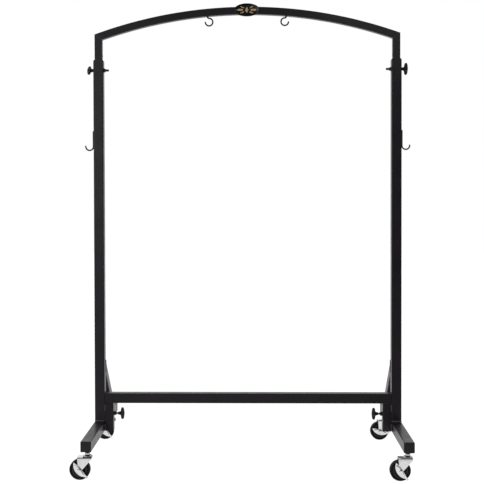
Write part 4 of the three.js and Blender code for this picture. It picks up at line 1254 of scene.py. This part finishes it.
def shader_group(name, inputs, outputs):
    """A node group with named sockets, and its input and output nodes."""
    group = bpy.data.node_groups.new(name, "ShaderNodeTree")
    for label, value in inputs:
        socket = group.interface.new_socket(name=label, in_out="INPUT", socket_type="NodeSocketFloat")
        socket.default_value = value
    for label in outputs:
        group.interface.new_socket(name=label, in_out="OUTPUT", socket_type="NodeSocketFloat")
    return group, group.nodes.new("NodeGroupInput"), group.nodes.new("NodeGroupOutput")


def add_node(nodes, kind, operation=None, **levels):
    """A shader node with its operation, and with levels set on the inputs that they name."""
    node = nodes.new(f"ShaderNode{kind}")
    if operation:
        node.operation = operation
    for label, level in levels.items():
        node.inputs[label.replace("_", " ")].default_value = level
    return node


def mottle_group():
    """Slow change over the surface: noise of the given scale, spread from Low to High."""
    group, into, out = shader_group("Mottle", [("Scale", 40.0), ("Low", 0.0), ("High", 1.0)], ["Value"])
    nodes, links = group.nodes, group.links
    place = add_node(nodes, "TexCoord")
    noise = add_node(nodes, "TexNoise", Detail=mottle_detail, Roughness=mottle_roughness)
    spread = add_node(nodes, "MapRange", From_Min=mottle_spread[0], From_Max=mottle_spread[1])
    links.new(place.outputs["Object"], noise.inputs["Vector"])
    links.new(into.outputs["Scale"], noise.inputs["Scale"])
    links.new(noise.outputs["Fac"], spread.inputs["Value"])
    links.new(into.outputs["Low"], spread.inputs["To Min"])
    links.new(into.outputs["High"], spread.inputs["To Max"])
    links.new(spread.outputs["Result"], out.inputs["Value"])
    return group


def grain_group():
    """Fine relief: one noise for the ripple of the coat and a finer one, by Fine, for its grain."""
    group, into, out = shader_group("Fine relief", [("Scale", 600.0), ("Fine", 0.3)], ["Height"])
    nodes, links = group.nodes, group.links
    place = add_node(nodes, "TexCoord")
    ripple = add_node(nodes, "TexNoise", Detail=ripple_detail)
    fine = add_node(nodes, "TexNoise", Detail=grain_detail)
    finer = add_node(nodes, "Math", "MULTIPLY")
    finer.inputs[1].default_value = grain_ratio
    weight = add_node(nodes, "Math", "MULTIPLY_ADD")
    for noise in (ripple, fine):
        links.new(place.outputs["Object"], noise.inputs["Vector"])
    links.new(into.outputs["Scale"], ripple.inputs["Scale"])
    links.new(into.outputs["Scale"], finer.inputs[0])
    links.new(finer.outputs["Value"], fine.inputs["Scale"])
    links.new(fine.outputs["Fac"], weight.inputs[0])
    links.new(into.outputs["Fine"], weight.inputs[1])
    links.new(ripple.outputs["Fac"], weight.inputs[2])
    links.new(weight.outputs["Value"], out.inputs["Height"])
    return group


MOTTLE = mottle_group()
GRAIN = grain_group()


def add_group(nodes, group, **levels):
    """A copy of a shared group in a material, with its own levels."""
    node = add_node(nodes, "Group")
    node.node_tree = group
    for label, level in levels.items():
        node.inputs[label].default_value = level
    return node


def finish(name, colour, lighter, mottle_scale, roughness, grain_scale, grain_depth, fine=0.3, **sockets):
    """A material whose colour and roughness change slowly between two values, with fine relief."""
    material = bpy.data.materials.new(name)
    material.use_nodes = True
    nodes, links = material.node_tree.nodes, material.node_tree.links
    shader = nodes["Principled BSDF"]
    for socket, value in sockets.items():
        shader.inputs[socket.replace("_", " ")].default_value = value
    patches = add_group(nodes, MOTTLE, Scale=mottle_scale)
    tone = nodes.new("ShaderNodeMix")
    tone.data_type = "RGBA"
    tone.inputs["A"].default_value = (*colour, 1.0)
    tone.inputs["B"].default_value = (*lighter, 1.0)
    links.new(patches.outputs["Value"], tone.inputs["Factor"])
    links.new(tone.outputs["Result"], shader.inputs["Base Color"])
    sheen = add_group(nodes, MOTTLE, Scale=mottle_scale * sheen_ratio, Low=roughness[0], High=roughness[1])
    links.new(sheen.outputs["Value"], shader.inputs["Roughness"])
    relief = add_group(nodes, GRAIN, Scale=grain_scale, Fine=fine)
    bump = add_node(nodes, "Bump", Distance=grain_depth)
    links.new(relief.outputs["Height"], bump.inputs["Height"])
    links.new(bump.outputs["Normal"], shader.inputs["Normal"])
    return material


materials["powder_coat"] = finish(
    "Satin black powder coat", (0.0150, 0.0120, 0.0155), (0.0205, 0.0165, 0.0210), mottle_scale=9.0,
    roughness=(0.38, 0.48), grain_scale=650.0, grain_depth=0.00003, Coat_Weight=0.13, Coat_Roughness=0.14,
    Specular_IOR_Level=0.22)
# The welds wear the same black coat as the tubes; this lighter grey is painted highlight, standing in for
# the light their fillets catch.
materials["coated_weld"] = finish(
    "Powder coat over weld", (0.070, 0.066, 0.070), (0.110, 0.105, 0.110), mottle_scale=300.0,
    roughness=(0.28, 0.4), grain_scale=650.0, grain_depth=0.00003, Coat_Weight=0.2, Coat_Roughness=0.14)
materials["chrome"] = finish(
    "Bright chrome", (0.61, 0.61, 0.62), (0.71, 0.71, 0.72), mottle_scale=60.0, roughness=(0.05, 0.12),
    grain_scale=300.0, grain_depth=0.000004, Metallic=1.0)
# A darker copy of the chrome: painted shade for the dark reflection of the foot's underside on the stem,
# race and nut.
materials["stem_zinc"] = finish(
    "Bright zinc", (0.36, 0.36, 0.37), (0.46, 0.46, 0.47), mottle_scale=90.0, roughness=(0.08, 0.16),
    grain_scale=300.0, grain_depth=0.000004, Metallic=1.0)
materials["bolt_steel"] = finish(
    "Black zinc", (0.05, 0.05, 0.052), (0.08, 0.08, 0.083), mottle_scale=200.0, roughness=(0.28, 0.4),
    grain_scale=900.0, grain_depth=0.000008, Metallic=0.85)
materials["black_plastic"] = finish(
    "Moulded black plastic", (0.010, 0.010, 0.0105), (0.015, 0.015, 0.0155), mottle_scale=40.0,
    roughness=(0.34, 0.48), grain_scale=1500.0, grain_depth=0.000018, fine=0.5, Specular_IOR_Level=0.3)
materials["nylon"] = finish(
    "Black nylon", (0.008, 0.008, 0.0085), (0.011, 0.011, 0.0115), mottle_scale=60.0, roughness=(0.45, 0.55),
    grain_scale=1500.0, grain_depth=0.000015)
materials["rubber_tyre"] = finish(
    "Dark rubber", (0.014, 0.014, 0.0145), (0.024, 0.0235, 0.023), mottle_scale=50.0, roughness=(0.55, 0.72),
    grain_scale=1100.0, grain_depth=0.00003, fine=0.6, Specular_IOR_Level=0.15)
materials["gloss_black"] = finish(
    "Gloss black", (0.004, 0.004, 0.0042), (0.006, 0.006, 0.006), mottle_scale=30.0, roughness=(0.16, 0.24),
    grain_scale=250.0, grain_depth=0.000003)
materials["gilt"] = finish(
    "Gilt print", (0.62, 0.42, 0.22), (0.78, 0.55, 0.32), mottle_scale=300.0, roughness=(0.3, 0.42),
    grain_scale=1200.0, grain_depth=0.000006, Metallic=0.3)

# Studio

floor_size = 30.0
floor_colour = 0.5
floor_roughness = 0.95
floor_glow = 0.93
front_level = 0.03
room_level = 0.08
room_side = 0.35
world_fade = (0.1, 0.7)
backdrop_lean = (-0.4, 1.0, 0.8)
floor_fade = (-1.3, -0.45)
white = (1.0, 1.0, 1.0, 1.0)
light_size = 1.6

# Each area light's place, aim and watts
key_light = ((-2.3, -4.2, 1.5), (-0.3, 0.0, 0.9), 56.0)
fill_light = ((1.3, -4.3, 2.9), (0.5, 0.0, 0.9), 13.0)


def ray_kinds(nodes, links):
    """One for camera rays, and one for glossy and transmission rays, which show the backdrop
    too."""
    path = nodes.new("ShaderNodeLightPath")
    mirrored = add_node(nodes, "Math", "ADD")
    mirrored.use_clamp = True
    links.new(path.outputs["Is Glossy Ray"], mirrored.inputs[0])
    links.new(path.outputs["Is Transmission Ray"], mirrored.inputs[1])
    return path.outputs["Is Camera Ray"], mirrored.outputs["Value"]


def smooth_step(nodes, links, distance, reach, low, high):
    """A smooth step from low to high while the distance runs through the reach."""
    step = add_node(nodes, "MapRange", From_Min=reach[0], From_Max=reach[1], To_Min=low, To_Max=high)
    step.interpolation_type = "SMOOTHSTEP"
    links.new(distance, step.inputs["Value"])
    return step.outputs["Result"]


def reach_along(nodes, links, output, direction):
    """How far a texture coordinate reaches along a direction: their dot product."""
    place = add_node(nodes, "TexCoord")
    reach = add_node(nodes, "VectorMath", "DOT_PRODUCT")
    reach.inputs[1].default_value = direction
    links.new(place.outputs[output], reach.inputs[0])
    return reach.outputs["Value"]


def choose(nodes, links, factor, low, high):
    """Low where the factor is nought and high where it is one."""
    pick = nodes.new("ShaderNodeMix")
    links.new(factor, pick.inputs["Factor"])
    for label, level in (("A", low), ("B", high)):
        if isinstance(level, float):
            pick.inputs[label].default_value = level
        else:
            links.new(level, pick.inputs[label])
    return pick.outputs["Result"]


def room_light():
    """The world: a white backdrop, which the camera sees all round. What mirrors sees it behind
    the object and leaning over it from the left, and the dim front of the studio elsewhere. Other
    rays take a softer light from it."""
    world = bpy.data.worlds.new("Studio")
    world.use_nodes = True
    bpy.context.scene.world = world
    nodes, links = world.node_tree.nodes, world.node_tree.links
    camera, mirrored = ray_kinds(nodes, links)
    away = reach_along(nodes, links, "Generated", backdrop_lean)
    backdrop = smooth_step(nodes, links, away, world_fade, front_level, 1.0)
    soft = smooth_step(nodes, links, away, world_fade, room_level, room_side)
    level = choose(nodes, links, mirrored, soft, backdrop)
    level = choose(nodes, links, camera, level, 1.0)
    links.new(level, nodes["Background"].inputs["Strength"])
    nodes["Background"].inputs["Color"].default_value = white


def pale_floor():
    """A wide plain floor. Where it is seen it adds a glow to the light it throws back, which
    makes it white in the open and leaves the object's shadow on it. Mirrored, the glow fades
    towards the dim front of the studio, as the backdrop does."""
    mesh = bpy.data.meshes.new("studio_floor")
    half = floor_size / 2
    corners = [(-half, -half, 0), (half, -half, 0), (half, half, 0), (-half, half, 0)]
    mesh.from_pydata(corners, [], [(0, 1, 2, 3)])
    floor = bpy.data.objects.new("studio_floor", mesh)
    bpy.context.scene.collection.objects.link(floor)
    material = bpy.data.materials.new("Studio floor")
    material.use_nodes = True
    nodes, links = material.node_tree.nodes, material.node_tree.links
    shader = nodes["Principled BSDF"]
    shader.inputs["Base Color"].default_value = (floor_colour, floor_colour, floor_colour, 1.0)
    shader.inputs["Roughness"].default_value = floor_roughness
    shader.inputs["Specular IOR Level"].default_value = 0.0
    shader.inputs["Emission Color"].default_value = white
    camera, mirrored = ray_kinds(nodes, links)
    away = reach_along(nodes, links, "Object", Y_AXIS)
    reflected = smooth_step(nodes, links, away, floor_fade, floor_glow * front_level, floor_glow)
    glow = choose(nodes, links, mirrored, 0.0, reflected)
    glow = choose(nodes, links, camera, glow, floor_glow)
    links.new(glow, shader.inputs["Emission Strength"])
    mesh.materials.append(material)


def soft_light(name, place, aim, watts):
    """A square area light at a place, turned to face its aim."""
    light = bpy.data.lights.new(name, "AREA")
    light.size = light_size
    light.energy = watts
    lamp = bpy.data.objects.new(name, light)
    lamp.location = place
    bpy.context.scene.collection.objects.link(lamp)
    away = np.asarray(place, float) - np.asarray(aim, float)
    turn = Matrix(basis(away, X_AXIS).tolist())
    lamp.rotation_euler = turn.to_euler()


def photograph_camera():
    """The fitted camera: heading about Z, tilt about its own X, then roll about its own Z."""
    data = bpy.data.cameras.new("camera")
    data.sensor_width = sensor_width
    data.lens = focal_px / picture_px * sensor_width
    data.shift_x = (picture_px / 2 - centre_px[0]) / picture_px
    data.shift_y = (centre_px[1] - picture_px / 2) / picture_px
    camera = bpy.data.objects.new("camera", data)
    turn = (Matrix.Rotation(math.radians(camera_heading), 3, "Z")
            @ Matrix.Rotation(math.radians(90 + camera_tilt), 3, "X")
            @ Matrix.Rotation(math.radians(camera_roll), 3, "Z"))
    camera.rotation_euler = turn.to_euler()
    camera.location = camera_place
    bpy.context.scene.collection.objects.link(camera)
    bpy.context.scene.camera = camera


def studio():
    room_light()
    pale_floor()
    soft_light("key_light", *key_light)
    soft_light("fill_light", *fill_light)
    photograph_camera()
    bpy.context.scene.view_settings.view_transform = "Standard"


for kept_side in SIDES:
    side_frame(kept_side)
crossbar()
top_frame()
knobs()
casters()
studio()
